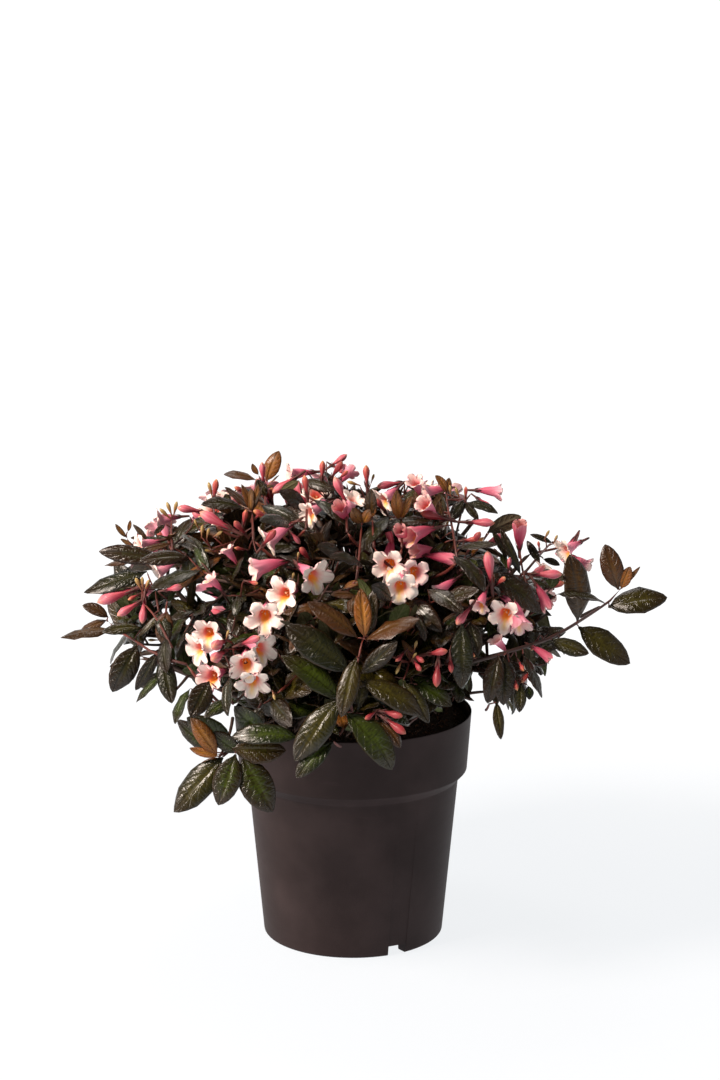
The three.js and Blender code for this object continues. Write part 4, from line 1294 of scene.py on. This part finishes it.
def corollaGrid(numbers, opened):
    # The corners of one corolla by ring and column; its lobes spread as far as it has opened
    columns = corollaSize["columns"]
    turn = np.arange(columns) * math.tau / columns
    grid = np.zeros((len(tube) + len(lobe), columns, 3))
    for ring, (height, radius) in enumerate(tube):
        pleat = 1 + 0.05 * ring / 4 * np.cos(5 * (turn + math.pi))
        grid[ring] = np.column_stack([radius * pleat * np.cos(turn), radius * pleat * np.sin(turn),
                                      np.full(columns, height)])
    flare = numbers.uniform(0.86, 1.14, 5) * numbers.uniform(0.9, 1.06)
    back = numbers.uniform(-1.4, 1.6, 5) + numbers.uniform(-1.0, 1.2)
    lift = numbers.uniform(-0.9, 1.0, 5)
    for column in range(columns):
        which, offset = divmod(column, 6)
        centre = turn[0] + (6 * which + 3) * math.tau / columns
        ahead = np.array([math.cos(centre), math.sin(centre)])
        over = np.array([-ahead[1], ahead[0]])
        for row, (out, rise, half, cleft) in enumerate(lobe):
            ring = len(tube) + row
            if offset == 0:
                edge = np.array([math.cos(turn[column]), math.sin(turn[column])])
                flat = edge * (tube[-1][1] + cleft * opened)
                height = tube[-1][0] + rise * cleft / 3.2 + (1 - opened) * cleft
            else:
                m = (offset - 3) / 2
                far = out * flare[which] * (1 - m * m * (0.08 + 0.025 * row))
                half = half * (0.6 + 0.4 * opened)
                flat = ahead * (tube[-1][1] + far * opened) + over * m * half
                height = tube[-1][0] + rise + (1 - opened) * 0.8 * far
                height += 0.5 * lift[which] * m * row / 3 - back[which] * (row / 3) ** 2
                height += 0.35 * (m * m - 0.5) * row / 3
            grid[ring, column] = [flat[0], flat[1], height]
    grid[..., 0] -= 0.0035 * grid[..., 2] ** 2
    return grid


def inset(grid, thickness):
    # The same corners moved to the inner side, but for the last ring
    along = np.gradient(grid, axis=0)
    roundAbout = np.roll(grid, -1, axis=1) - np.roll(grid, 1, axis=1)
    normal = unit(np.cross(along, roundAbout))
    share = np.ones(len(grid))
    share[-1] = 0
    return grid + normal * thickness * share[:, None, None]


def gridOn(shape, grid):
    # The grid's corners in the order of a sleeve's
    columns = grid.shape[1]
    turn = np.arctan2(shape.points[:, 1], shape.points[:, 0]) / math.tau % 1
    column = np.rint(turn * columns).astype(int) % columns
    return grid[np.rint(shape.points[:, 2]).astype(int), column]


def sideOf(shape, low, high, flip=False):
    # The shape with its map between two heights, and turned inside out where wanted
    made = copy.copy(shape)
    made.map = shape.map * (1, high - low) + (0, low)
    if flip:
        made.faces = [face[::-1] for face in shape.faces]
        ends = np.cumsum([len(face) for face in shape.faces])[:-1]
        made.map = np.concatenate([part[::-1] for part in np.split(made.map, ends)])
    return made


def corollas(rows, numbers, opened):
    # Parts of a joined mesh for corollas given as (base, way, size)
    sheet = sleeve(corollaSize["columns"], len(tube) + len(lobe) - 1)
    outer, inner = sideOf(sheet, 0.02, 0.48), sideOf(sheet, 0.52, 0.98, True)
    kinds = numbers.integers(0, corollaSize["kinds"], len(rows))
    parts = []
    for kind in range(corollaSize["kinds"]):
        grid = corollaGrid(numbers, numbers.uniform(*opened))
        chosen = [row for row, which in zip(rows, kinds) if which == kind]
        if chosen:
            pose = facing(chosen, numbers)
            parts.append((outer, stood(gridOn(sheet, grid), pose)))
            parts.append((inner, stood(gridOn(sheet, inset(grid, corollaSize["thickness"])), pose)))
    return parts


def facing(rows, numbers):
    # Matrices for flowers whose lower lobe hangs lowest, each a little askew
    bases, ways = np.array([row[0] for row in rows], float), np.array([row[1] for row in rows])
    askew = up + numbers.normal(0, 0.14, (len(rows), 3)) + 0.02
    return poses(bases, ways, askew, [row[2] for row in rows])


def lathed(profile, sides, pointed=False, pleat=0.0):
    # A sleeve with its rings at the profile's heights and radii
    shape = sleeve(sides, len(profile) - 1, pointed=pointed)
    ring = np.rint(shape.points[:, 2]).astype(int)
    heights, radii = np.array(profile, float).T
    turn = np.arctan2(shape.points[:, 1], shape.points[:, 0])
    scale = radii[ring] * (1 + pleat * np.cos(5 * turn))
    points = np.column_stack([shape.points[:, 0] * scale, shape.points[:, 1] * scale, heights[ring]])
    return shape, points


# Buds by how far they are open: length and radii along it
budShape = [(0, 1.3), (0.1, 1.45), (0.26, 1.9), (0.42, 2.9), (0.58, 3.9), (0.72, 4.2), (0.85, 3.2),
            (0.94, 1.7), (1, 0)]
budSizes = {"bud": (25, 0.95), "shadedRed": (22, 0.85), "half": (16, 0.62), "small": (10, 0.31)}


def budParts(kind, rows, numbers):
    length, thick = budSizes[kind]
    shape, points = lathed([(z * length, r * thick) for z, r in budShape], 10, True, 0.05)
    return [(shape, stood(points, facing(rows, numbers)))]


def calyxParts(rows, numbers):
    # The green-red ovary under a flower or bud, and five narrow sepals round its base
    ovary, points = lathed([(-9.5, 0.8), (-8, 1.15), (-4, 1.3), (-1, 1.5), (1.5, 1.9)], 8)
    pose = facing(rows, numbers)
    parts = [(ovary, stood(points, pose))]
    sepal, points = lathed([(0, 0.9), (2.5, 0.8), (5.0, 0.5), (7.4, 0)], 4, True)
    points = points * (0.4, 1, 1)
    for i in range(5):
        turn, lean = math.tau * i / 5, 0.34
        tilted = points + np.column_stack([1.6 + lean * points[:, 2] - 0.016 * points[:, 2] ** 2,
                                           0 * points[:, 0], 0 * points[:, 0] - 0.6])
        spun = np.column_stack([tilted[:, 0] * math.cos(turn) - tilted[:, 1] * math.sin(turn),
                                tilted[:, 0] * math.sin(turn) + tilted[:, 1] * math.cos(turn),
                                tilted[:, 2]])
        parts.append((sepal, stood(spun, pose)))
    return parts


def stamenParts(rows, numbers):
    # Five stamens with pale anthers and a style with a white knob
    pose = facing(rows, numbers)
    parts = []
    for i in range(6):
        turn = math.tau * (i + 0.5) / 5
        out = 0 if i == 5 else 2.4
        top = 16.5 if i == 5 else 13.5
        knob = 0.7 if i == 5 else 0.55
        profile = [(5, 0.24), (top - 3, 0.22), (top - 1.6, knob * 0.7), (top - 0.6, knob), (top, 0)]
        shape, points = lathed(profile, 5, True)
        shift = out * np.clip((points[:, 2] - 5) / 8, 0, 1)
        points = points + np.column_stack([math.cos(turn) * shift - 0.0035 * points[:, 2] ** 2,
                                           math.sin(turn) * shift, 0 * shift])
        parts.append((shape, stood(points, pose)))
    return parts


def petalMaterial(name, outside, inside, throat, patch):
    shader = Shader(name)
    place, across, along = shader.mapped()
    inner = along.sum("GREATER_THAN", along, 0.5)
    run = (along * 2).sum("FRACT", along * 2)
    lobes = (across * 5).sum("FRACT", across * 5) * 2 - 1
    off = shader.away(lobes)
    vein = shader.ramp(off, 0.2, 0.02) * shader.ramp(run, 0.25, 0.6)
    lines = shader.grain(shader.stretched(place, (60, 3, 1)), 1, 3)
    body = shader.node("ValToRGB", {"stops": outside}, [run + (lines - 0.5) * 0.16])[0]
    body = shader.blend(vein * 0.4, body, outside[1][1])
    mouth = shader.node("ValToRGB", {"stops": inside}, [run + (lines - 0.5) * 0.1])[0]
    mouth = shader.blend(vein * 0.16, mouth, throat)
    low = across.sum("ABSOLUTE", across - 0.5)
    spot = shader.ramp(low, 0.17, 0.07) * shader.ramp(run, 0.06, 0.2) * shader.ramp(run, 0.6, 0.48)
    streak = shader.ramp(low, 0.05, 0.0) * shader.ramp(run, 0.4, 0.5) * shader.ramp(run, 0.88, 0.6)
    mouth = shader.blend(spot * 0.85, mouth, patch)
    mouth = shader.blend(streak * 0.7, mouth, "#f0c860")
    colour = shader.blend(inner, body, mouth)
    # Painted light: a little light of its own over the whole corolla, orange deep in the throat, stands for
    # what shines through the thin petals
    share = inner * shader.ramp(run, 0.5, 0.25) * 0.7
    glow = shader.blend(share, shader.blend(0.68, colour, "#000000"), "#d0701e")
    return shader.finish(colour, 0.55, shader.bump(lines, 0.25), Emission_Color=glow,
                         Emission_Strength=0.3)


def budMaterial(name, stops, streak, amount):
    # A colour that changes along the bud, with pale streaks on its folds
    shader = Shader(name)
    place, across, along = shader.mapped()
    lines = shader.grain(shader.stretched(place, (14, 1.6, 1)), 1, 3, 0.6)
    folds = (across * 5).sum("FRACT", across * 5) - 0.5
    fold = shader.ramp(shader.away(folds), 0.1, 0.42)
    colour = shader.node("ValToRGB", {"stops": stops}, [along + (lines - 0.5) * 0.24])[0]
    light = shader.ramp(lines, 0.4, 0.66) * (0.35 + fold * 0.65) * shader.ramp(along, 0.1, 0.5)
    colour = shader.blend(light * amount, colour, streak)
    return shader.finish(colour, 0.5, shader.bump(lines + fold * 0.5, 0.3), Coat_Weight=0.06)


def plainMaterial(name, low, high, roughness, spots):
    # A colour that runs along the piece's map to another, with soft blotches of a third
    shader = Shader(name)
    place, _, along = shader.mapped()
    colour = shader.blend(along, low, high)
    cloud = shader.grain(shader.stretched(place, (3, 5, 1)), 3)
    colour = shader.blend(shader.ramp(cloud, 0.45, 0.7) * 0.5, colour, spots)
    return shader.finish(colour, roughness, shader.bump(cloud, 0.3))


flowers = {"pale": [], "rosy": [], "deep": []}
buds = {"bud": [], "shadedRed": [], "half": [], "small": []}
leaves = {tint: [] for tint in leafTints}
stalks, woody = [], []


def stalkEnd(kind, base, way, size):
    # Where a stalk meets the calyx, or a small bud that has none yet
    back = {"small": -0.8, "half": 7.4}.get(kind, 9.2)
    return base - way * back * size


# How near a shoot takes a piece, how wide a cluster is, how far inwards its node lies, and
# how much wider than drawn a leaf is
handPlan = {"shoot": 14, "cluster": 22, "inwards": 9, "wide": 1.18, "youngWide": 1.35}


def handSet(twigs, numbers):
    # Each loose cluster hangs from a node a little inwards, which is joined to a twig
    ends = np.vstack([twig["path"].at(np.linspace(0.1, 1, 12)) for twig in twigs])
    shown = {name: through(points) for name, points in shownShoots.items()}
    for name, path in shown.items():
        start = path.points[0]
        near = ends[np.argmin(np.linalg.norm(ends - start, axis=1))]
        stalks.append((through([near, (near + start) / 2 - up * 2, start]), 1.25, 1.1))
        if name == "longShoot":
            woody.append((path, 1.5, 0.9))
        else:
            stalks.append((path, 1.1, 0.7))
    along = np.vstack([path.at(np.linspace(0, 1, 30)) for path in shown.values()])
    loose = []
    for kind, rows in shownFlowers.items():
        for base, aim, size in rows:
            way = direction(*aim)
            flowers[kind].append((np.array(base, float), way, size))
            loose.append((stalkEnd("flower", np.array(base), way, size), "flower"))
    for kind, rows in shownBuds.items():
        for base, aim, size in rows:
            way = direction(*aim)
            buds[kind].append((np.array(base, float), way, size))
            loose.append((stalkEnd(kind, np.array(base), way, size), "bud"))
    for tint, rows in shownLeaves.items():
        for base, tip, aim, width in rows:
            base, tip = np.array(base, float), np.array(tip, float)
            way = unit(tip - base)
            face = direction(*aim)
            face = unit(face - way * face.dot(way))
            wide = handPlan["youngWide" if tint in ("bronze", "copper") else "wide"]
            bend = 0.3 + 0.6 * numbers.random()
            leaves[tint].append((base, way, face, math.dist(base, tip), wide * width, bend))
            loose.append((base, "leaf"))
    nodes = []
    for point, kind in loose:
        near = along[np.argmin(np.linalg.norm(along - point, axis=1))]
        if math.dist(near, point) < handPlan["shoot"]:
            if math.dist(near, point) > 1:
                bend = (near + point) / 2 + unit(point - heart) * 1.5
                stalks.append((Path(near, bend, point, steps=6), 0.6, 0.5))
            continue
        for node in nodes:
            if math.dist(np.mean(node, axis=0), point) < handPlan["cluster"]:
                node.append(point)
                break
        else:
            nodes.append([point])
    for node in nodes:
        middle = np.mean(node, axis=0)
        joint = middle - unit(middle - heart) * handPlan["inwards"] - up * 2
        near = ends[np.argmin(np.linalg.norm(ends - joint, axis=1))]
        stalks.append((Path(near, (near + joint) / 2 - up * 1.5, joint, steps=8), 1.1, 0.85))
        for point in node:
            bend = (joint + point) / 2 + unit(middle - heart) * 2
            stalks.append((Path(joint, bend, point, steps=6), 0.7, 0.5))


# Spots that stay in view: how far along the piece, their radius, and how far behind counts too
guardSpots = {"flower": [(22, 12, 16), (10, 5.5, 6)], "bud": [(0.7, 5, 8), (0.3, 3, 4)],
              "leaf": [(0.15, 7, 4), (0.35, 7, 4), (0.6, 7, 4), (0.85, 7, 4)]}


def setGuards():
    spots = []
    for rows in flowers.values():
        for out, *rest in guardSpots["flower"]:
            spots.append(guardsOf([base + way * out * size for base, way, size in rows], *rest))
    for kind, rows in buds.items():
        length = budSizes[kind][0]
        for share, *rest in guardSpots["bud"]:
            middles = [base + way * share * length * size for base, way, size in rows]
            spots.append(guardsOf(middles, *rest))
    for rows in leaves.values():
        for share, *rest in guardSpots["leaf"]:
            spots.append(guardsOf([row[0] + row[1] * row[3] * share for row in rows], *rest))
    return np.vstack(spots)


headPlans = {"bloom": ["flower", "flower", "flower", "bud", "half"],
             "buds": ["bud", "half", "half", "small"], "apart": 19, "front": 8, "axillary": 0.16}


def ruleHeads(twigs, numbers):
    # Heads of bloom and buds on the sides and the back, as the rule deals them out
    placed = Crowd(headPlans["apart"])
    for twig in twigs:
        axillary = twig["level"] == 2 and numbers.random() < headPlans["axillary"]
        if twig["head"] == "l" and not axillary:
            continue
        path = twig["path"]
        root = path.at(0.985)
        if root[1] < headPlans["front"]:
            continue
        outward = unit(root - heart)
        aim = unit(path.wayAt(1) * 0.4 + outward * 0.6)
        bloom = twig["head"] == "f" or axillary
        phase = 360 * numbers.random()
        plan = headPlans["bloom" if bloom else "buds"]
        for i, kind in enumerate(plan):
            side = around(aim, phase + 360 * i / len(plan) + 30 * (numbers.random() - 0.5))
            slope = (0.75 if kind == "flower" else 0.45) * (0.7 + 0.5 * numbers.random())
            way = unit(aim + side * slope)
            size = 0.85 + 0.25 * numbers.random()
            base = root + way * (2.5 + 9.4 * size)
            length = 24 if kind == "flower" else budSizes[kind][0]
            mouth = base + way * length * size
            if kind == "small":
                base = root + way * 5
            if not inView(np.array([base, mouth])) or not insideBox(mouth[None], -3):
                continue
            if kind == "flower":
                if not placed.takes(mouth):
                    continue
                placed.add(mouth)
                share = numbers.random()
                colour = "deep" if share < 0.14 else "rosy" if share < 0.42 else "pale"
                flowers[colour].append((base, way, size))
            else:
                buds[kind].append((base, way, size))
            stalks.append((Path(root, stalkEnd(kind, base, way, size), steps=2), 0.6, 0.5))


def barkMaterial(name, low, high, relief):
    shader = Shader(name)
    place = shader.mapped()[0]
    strips = shader.grain(shader.stretched(place, (9, 6, 1)), 1, 4, 0.6)
    cracks = shader.grain(shader.stretched(place, (26, 14, 1)), 1, 3)
    colour = shader.blend(shader.ramp(strips, 0.38, 0.62), low, high)
    colour = shader.blend(shader.ramp(cracks, 0.52, 0.66) * 0.5, colour, "#241712")
    return shader.finish(colour, 0.82, shader.bump(strips + cracks * 0.5, relief))


def barked(shape, points, amount):
    # The corners pushed in and out in strips that run along the limb
    pushed = points.copy()
    rings = np.rint(shape.points[:, 2]).astype(int)
    for limb, row in enumerate(points):
        for ring in range(rings.max() + 1):
            chosen = np.flatnonzero(rings == ring)
            middle = row[chosen].mean(axis=0)
            for k in chosen:
                away = row[k] - middle
                if np.linalg.norm(away) < 0.1:
                    continue
                strip = math.atan2(shape.points[k, 1], shape.points[k, 0])
                spot = Vector((math.cos(strip) * 2.2, math.sin(strip) * 2.2, ring * 0.3 + limb * 7))
                pushed[limb, k] += unit(away) * amount * noise.fractal(spot, 1, 2, 3)
    return shape, pushed


boughRadii = (3.25, 2.5)


def makeBoughs(material):
    runs = []
    for bough in limbs:
        line = np.vstack([[hub + bough["way"] * 15], bough["path"].points])
        runs.append((pathOf(line), *boughRadii))
    mesh = joined("boughs", [barked(*tubes(14, 30, runs), 0.55)])
    keep(mesh, "boughs", material, [f"bough_{bough['name']}" for bough in limbs])


foot = {"profile": [(180, 15.5), (183, 14), (186, 11.2), (190, 9.6), (195, 8.6), (200, 7.6),
                    (203.4, 5.6), (204.6, 2.6), (204.9, 0.1)], "roots": 0.16, "rootTop": 190,
        "stub": 20.8, "stubRadii": (3.5, 3.2)}


def makeFoot(material):
    shape, points = lathed(foot["profile"], 30)
    turn = np.arctan2(points[:, 1], points[:, 0])
    low = np.clip((foot["rootTop"] - points[:, 2]) / 10, 0, 1)[:, None]
    spread = 1 + foot["roots"] * low * np.cos(5 * turn + 1)[:, None]
    points = points * np.hstack([spread, spread, np.ones_like(spread)])
    butt = barked(shape, points[None], 0.9)
    runs = []
    for bough in limbs:
        runs.append((Path(hub, hub + bough["way"] * foot["stub"], steps=8), *foot["stubRadii"]))
    stubs = barked(*tubes(12, 8, runs), 0.4)
    keep(joined("foot", [butt, stubs]), "foot", material, ["foot"])


# The pot's outline from the middle of its underside round to its floor, as radius, height
# and the rounding of each corner, and its drain notches.
pot = {
    "corners": [(0, 0, 0), (30, 0, 0.6), (32, 8, 1), (60.4, 8, 1), (62.4, 0, 0.5), (72.2, 0, 2.2),
                (84.6, 129.5, 2), (91.5, 137, 1.6), (95, 184, 0.7), (93.2, 184, 0.7),
                (82.8, 129.5, 3), (70.6, 11, 3), (0, 11, 0)],
    "steps": 144,
    "bends": 4,
    "notch": {"first": -61, "count": 3, "half": 6.33, "height": 8, "from": 61, "ring": 69, "under": 20},
}


def roundedLine(corners, bends):
    # The outline with each corner turned in an arc, and a point a little before and after it
    line = []
    for i, (r, z, rounding) in enumerate(corners):
        here = np.array([r, z], float)
        if not rounding:
            line.append(here)
            continue
        before, after = (unit(np.array(corners[i + k][:2], float) - here) for k in (-1, 1))
        half = math.acos(np.clip(before.dot(after), -1, 1)) / 2
        reach = rounding / math.tan(half)
        centre = here + unit(before + after) * rounding / math.sin(half)
        first, last = here + before * reach - centre, here + after * reach - centre
        line.append(here + before * (reach + 0.8))
        for k in range(bends + 1):
            line.append(centre + unit(first * (bends - k) + last * k) * rounding)
        line.append(here + after * (reach + 0.8))
    return line


def spun(line, steps):
    bm = bmesh.new()
    rail = [bm.verts.new((r, 0, z)) for r, z in line]
    edges = [bm.edges.new(pair) for pair in zip(rail, rail[1:])]
    turned = {"cent": (0, 0, 0), "axis": (0, 0, 1), "angle": math.tau, "steps": steps}
    bmesh.ops.spin(bm, geom=rail + edges, use_merge=True, **turned)
    bmesh.ops.remove_doubles(bm, verts=bm.verts, dist=1e-3)
    bmesh.ops.recalc_face_normals(bm, faces=bm.faces)
    return bm


def makePot():
    bm = spun(roundedLine(pot["corners"], pot["bends"]), pot["steps"])
    notch = pot["notch"]
    step, apart, edge = 360 / pot["steps"], 360 / notch["count"], notch["half"]
    for vert in bm.verts:
        flat = math.hypot(vert.co.x, vert.co.y)
        if flat <= notch["from"] or vert.co.z >= notch["under"]:
            continue
        if vert.co.z > notch["height"] + 0.5 and flat < notch["ring"]:
            continue
        turn = math.degrees(math.atan2(vert.co.y, vert.co.x))
        for i in range(notch["count"]):
            off = (turn - notch["first"] - apart * i + 180) % 360 - 180
            if abs(abs(off) - edge) < step * 1.01:
                side = math.copysign(edge + (-0.06 if abs(off) < edge else 0.06), off)
                angle = math.radians(notch["first"] + apart * i + side)
                vert.co.x, vert.co.y = flat * math.cos(angle), flat * math.sin(angle)
            if abs(off) < edge:
                vert.co.z = max(vert.co.z, notch["height"])
    bmesh.ops.dissolve_degenerate(bm, dist=1e-3, edges=bm.edges)
    bmesh.ops.recalc_face_normals(bm, faces=bm.faces)
    mesh = meshOf(bm, "pot")
    mesh.set_sharp_from_angle(angle=math.radians(50))

    shader = Shader("pot plastic")
    place = shader.solid()
    speck = shader.grain(place, 900, 2)
    cloud = shader.grain(place, 18, 3)
    scuff = shader.grain(shader.stretched(place, (40, 40, 240)), 1, 4, 0.6)
    colour = shader.blend(shader.ramp(cloud, 0.35, 0.7), "#2e2525", "#392f2f")
    colour = shader.blend(shader.ramp(scuff, 0.6, 0.74) * 0.16, colour, "#403637")
    rough = cloud * 0.14 + scuff * 0.1 + 0.44
    made = shader.finish(colour, rough, shader.bump(speck, 0.12, 0.6), Specular_IOR_Level=0.08)
    keep(mesh, "pot", made, ["pot"])


soil = {"profile": [(0, 183), (17, 183), (40, 182), (78.2, 180), (91.6, 177), (92.2, 174)],
        "rings": 34, "steps": 120, "radius": 91.8, "top": 180, "plug": [(92, 172), (88, 150), (0, 150)],
        "edge": (92.4, 12), "crumbs": 1500, "crumbRadius": 91, "size": (0.6, 2.0)}


def soilHeight(x, y):
    flat = math.hypot(x, y)
    radii, heights = np.array(soil["profile"]).T
    lumps = noise.fractal(Vector((x * 0.07, y * 0.07, 3.1)), 1, 2, 4) * 1.5
    fine = noise.noise(Vector((x * 0.5, y * 0.5, 8.2))) * 0.5
    edge, fade = soil["edge"]
    return float(np.interp(flat, radii, heights)) + (lumps + fine) * min(1, (edge - flat) / fade)


def makeSoil():
    count = soil["rings"]
    line = [(soil["radius"] * i / count, soil["top"]) for i in range(count + 1)] + soil["plug"]
    bm = spun(line, soil["steps"])
    for vert in bm.verts:
        if vert.co.z > soil["top"] - 1:
            vert.co.z = soilHeight(vert.co.x, vert.co.y)
    mesh = meshOf(bm, "soil")

    shader = Shader("potting soil")
    place = shader.solid()
    bits = shader.grain(place, 420, 4, 0.7)
    lumps = shader.grain(place, 90, 3)
    colour = shader.blend(shader.ramp(bits, 0.35, 0.68), "#1e110b", "#472c1e")
    colour = shader.blend(shader.ramp(lumps, 0.55, 0.75) * 0.6, colour, "#4a3223")
    made = shader.finish(colour, 0.93, shader.bump(bits + lumps * 0.6, 1.2))
    keep(mesh, "soil", made, ["soil"])

    bm = bmesh.new()
    bmesh.ops.create_icosphere(bm, subdivisions=1, radius=1)
    bm.loops.layers.uv.new("OFBake")
    crumb = Shape(bm)
    draw = np.random.default_rng(31)
    flat = soil["crumbRadius"] * np.sqrt(draw.uniform(0.0, 1, soil["crumbs"]))
    turn = draw.uniform(0, math.tau, soil["crumbs"])
    low, high = soil["size"]
    size = low + (high - low) * draw.random(soil["crumbs"]) ** 2.5
    x, y = flat * np.cos(turn), flat * np.sin(turn)
    z = np.array([soilHeight(a, b) for a, b in zip(x, y)]) + size * 0.3
    stretch = draw.uniform(0.5, 1.6, (soil["crumbs"], 3)) * (1, 1, 0.8)
    tilt = unit(draw.normal(0, 1, (soil["crumbs"], 3)))
    roll = unit(draw.normal(0, 1, (soil["crumbs"], 3)))
    turns, bases = poses(np.column_stack([x, y, z]), tilt, roll, size)
    points = stood(crumb.points, (turns * stretch[:, None, :], bases))
    shader = Shader("crumbs")
    tint = shader.grain(shader.solid(), 260, 2)
    shade = shader.blend(shader.ramp(tint, 0.4, 0.62), "#26160f", "#583a28")
    made = shader.finish(shade, 0.92)
    keep(joined("crumbs", [(crumb, points)]), "soil_crumbs", made, ["soil"])


def makeFloor():
    bm = bmesh.new()
    bmesh.ops.create_grid(bm, x_segments=1, y_segments=1, size=9000)
    shader = Shader("floor")
    across, depth, _ = shader.node("SeparateXYZ", {}, [shader.solid()])
    away = (across * across + depth * depth) ** 0.5
    own, near, far = floorTones
    glow = shader.blend(shader.ramp(away, 0.2, 1.3), near, far)
    made = shader.finish(own, 0.9, Specular_IOR_Level=0.1, Emission_Color=glow,
                         Emission_Strength=1.0)
    mesh = meshOf(bm, "floor", smooth=False)
    mesh.materials.append(made)
    floor = bpy.data.objects.new("floor", mesh)
    bpy.context.scene.collection.objects.link(floor)


# The petals of each kind of flower: how far it opens, its colours at shares of its length
# outside and inside, the tone of its throat and of its yellow patch
petalShares = (0, 0.3, 0.58, 0.8, 1)
petalLooks = {
    "pale": {"opened": (0.82, 1.04),
             "outside": (petalShares, ("#a83650", "#d0708a", "#e2a2ae", "#eac4c4", "#eed0ca")),
             "inside": ((0, 0.28, 0.42, 0.52, 0.64),
                        ("#c8502c", "#cc4c50", "#de7c80", "#ecbeb4", "#f0e0d6")),
             "throat": "#e0a0a4", "patch": "#f09a22"},
    "rosy": {"opened": (0.4, 0.8),
             "outside": (petalShares, ("#982c46", "#c85672", "#da8498", "#e4a2ae", "#e8b6b8")),
             "inside": ((0, 0.3, 0.42, 0.54, 0.7),
                        ("#982038", "#b83650", "#d07080", "#e2acac", "#e8ccc6")),
             "throat": "#cc7c88", "patch": "#ec9224"},
    "deep": {"opened": (0.0, 0.3),
             "outside": (petalShares, ("#7c1a30", "#ac3450", "#bc5068", "#c8707e", "#d08a8c")),
             "inside": ((0, 0.3, 0.42, 0.54, 0.7),
                        ("#84182e", "#a42c46", "#b84c62", "#cc7c84", "#dcaaa6")),
             "throat": "#b45468", "patch": "#d88430"},
}
# The buds of each kind: colours at shares of the length, and their streaks and how strong
budLooks = {
    "bud": ("ripe buds", (0, 0.35, 0.7, 0.95), ("#781828", "#aa3044", "#c4586c", "#d08868"),
            "#e0a4a8", 0.5),
    "half": ("half-grown buds", (0, 0.4, 0.7, 0.95), ("#701822", "#9a2a32", "#ac443c", "#cc9460"),
             "#cc8068", 0.45),
    # Painted shade: the red buds are darker copies of the ripe buds, for where shade falls on them
    "shadedRed": ("deep buds darkened as painted shade", (0, 0.35, 0.7, 0.95), ("#5c1018", "#841c26", "#963038", "#a85840"),
            "#b86060", 0.35),
    "small": ("small buds", (0, 0.35, 0.8), ("#6e2c20", "#84552e", "#a48c50"), "#bca66c", 0.4),
}

numbers = np.random.default_rng(seed)
massNodes = [f"mass_{mass['name']}" for mass in masses]


def grow(name, parts, material):
    # A piece of one kind, which stands for all the masses together
    keep(joined(name, parts), name, material, massNodes)


makeCamera()
makeStudio()
makeFloor()
makePot()
makeSoil()
print("pot, soil and studio made")

bark = barkMaterial("bark", "#33231b", "#5a4436", 0.6)
makeFoot(bark)
makeBoughs(bark)
print("foot and boughs made")

guards = np.zeros((0, 4))
twigs = growTwigs()
handSet(twigs, numbers)
guards = setGuards()
twigs = branched(twigs, numbers)
ruleHeads(twigs, numbers)
flowerCount, budCount = (sum(map(len, kinds.values())) for kinds in (flowers, buds))
print(len(twigs), "twigs,", flowerCount, "flowers and", budCount, "buds")

crowd = Crowd(leafPlan["apart"])
for rows in leaves.values():
    for base, way, face, length, width, arc in rows:
        crowd.add(base + way * length * 0.55)
handLeaves = sum(map(len, leaves.values()))
for tint, row in ruleLeaves(twigs, crowd, numbers):
    leaves[tint].append(row)
ruledLeaves = sum(map(len, leaves.values())) - handLeaves
print(handLeaves, "leaves set by hand and", ruledLeaves, "by the rule")

runs = {0: [], 1: [], 2: [], 3: []}
for twig in twigs:
    path = shownPart(twig["path"])
    if masses[twig["mass"]]["name"] == "long_right_shoot" and twig["level"] < 2:
        path = pathOf(path.at(np.linspace(0, 0.6, 30)))
    runs[twig["level"]].append((path, *levels[twig["level"]]["radii"]))
stemBark = barkMaterial("stem bark", "#2c1d18", "#4a342a", 0.35)
grow("stems", [barked(*tubes(8, 18, runs[0]), 0.22), tubes(7, 12, runs[1])], stemBark)
twigBark = plainMaterial("twig bark", "#33211c", "#5a2b24", 0.6, "#3f2a20")
grow("twigs", [tubes(6, 12, woody), tubes(6, 7, runs[2]), tubes(5, 5, runs[3])], twigBark)
stalkSkin = plainMaterial("young stalks", "#421a14", "#6e2c20", 0.5, "#54221a")
grow("stalks", [tubes(6, 6, stalks)], stalkSkin)

upper, under = leafShape()
for tint, look in leafTints.items():
    rows = leaves[tint]
    state = numbers.integers(0, 2**31)
    sheets = [leafPoints(shape, rows, np.random.default_rng(state)) for shape in (upper, under)]
    cells = numbers.integers(0, 4, len(rows))
    parts = [(upper, sheets[0], cells), (under, sheets[1], cells)]
    grow(f"leaves_{tint}", parts, leafMaterial(f"leaf {tint}", *look))
print("leaves made")

for kind, look in petalLooks.items():
    outside, inside = (list(zip(*look[side])) for side in ("outside", "inside"))
    skin = petalMaterial(f"{kind} petals", outside, inside, look["throat"], look["patch"])
    grow(f"flowers_{kind}", corollas(flowers[kind], numbers, look["opened"]), skin)
everyFlower = sum(flowers.values(), [])
stamens = plainMaterial("stamens", "#f0b890", "#f8e0b0", 0.5, "#f4d8b8")
grow("stamens", stamenParts(everyFlower, numbers), stamens)
calyx = plainMaterial("calyces", "#4d2a22", "#5c2028", 0.55, "#4a3a20")
cupped = everyFlower + buds["bud"] + buds["shadedRed"]
cupped += [(base, way, size * 0.8) for base, way, size in buds["half"]]
grow("calyces", calyxParts(cupped, numbers), calyx)
for kind, rows in buds.items():
    name, places, colours, streak, amount = budLooks[kind]
    skin = budMaterial(name, list(zip(places, colours)), streak, amount)
    grow(f"buds_{kind}", budParts(kind, rows, numbers), skin)
print("flowers and buds made")
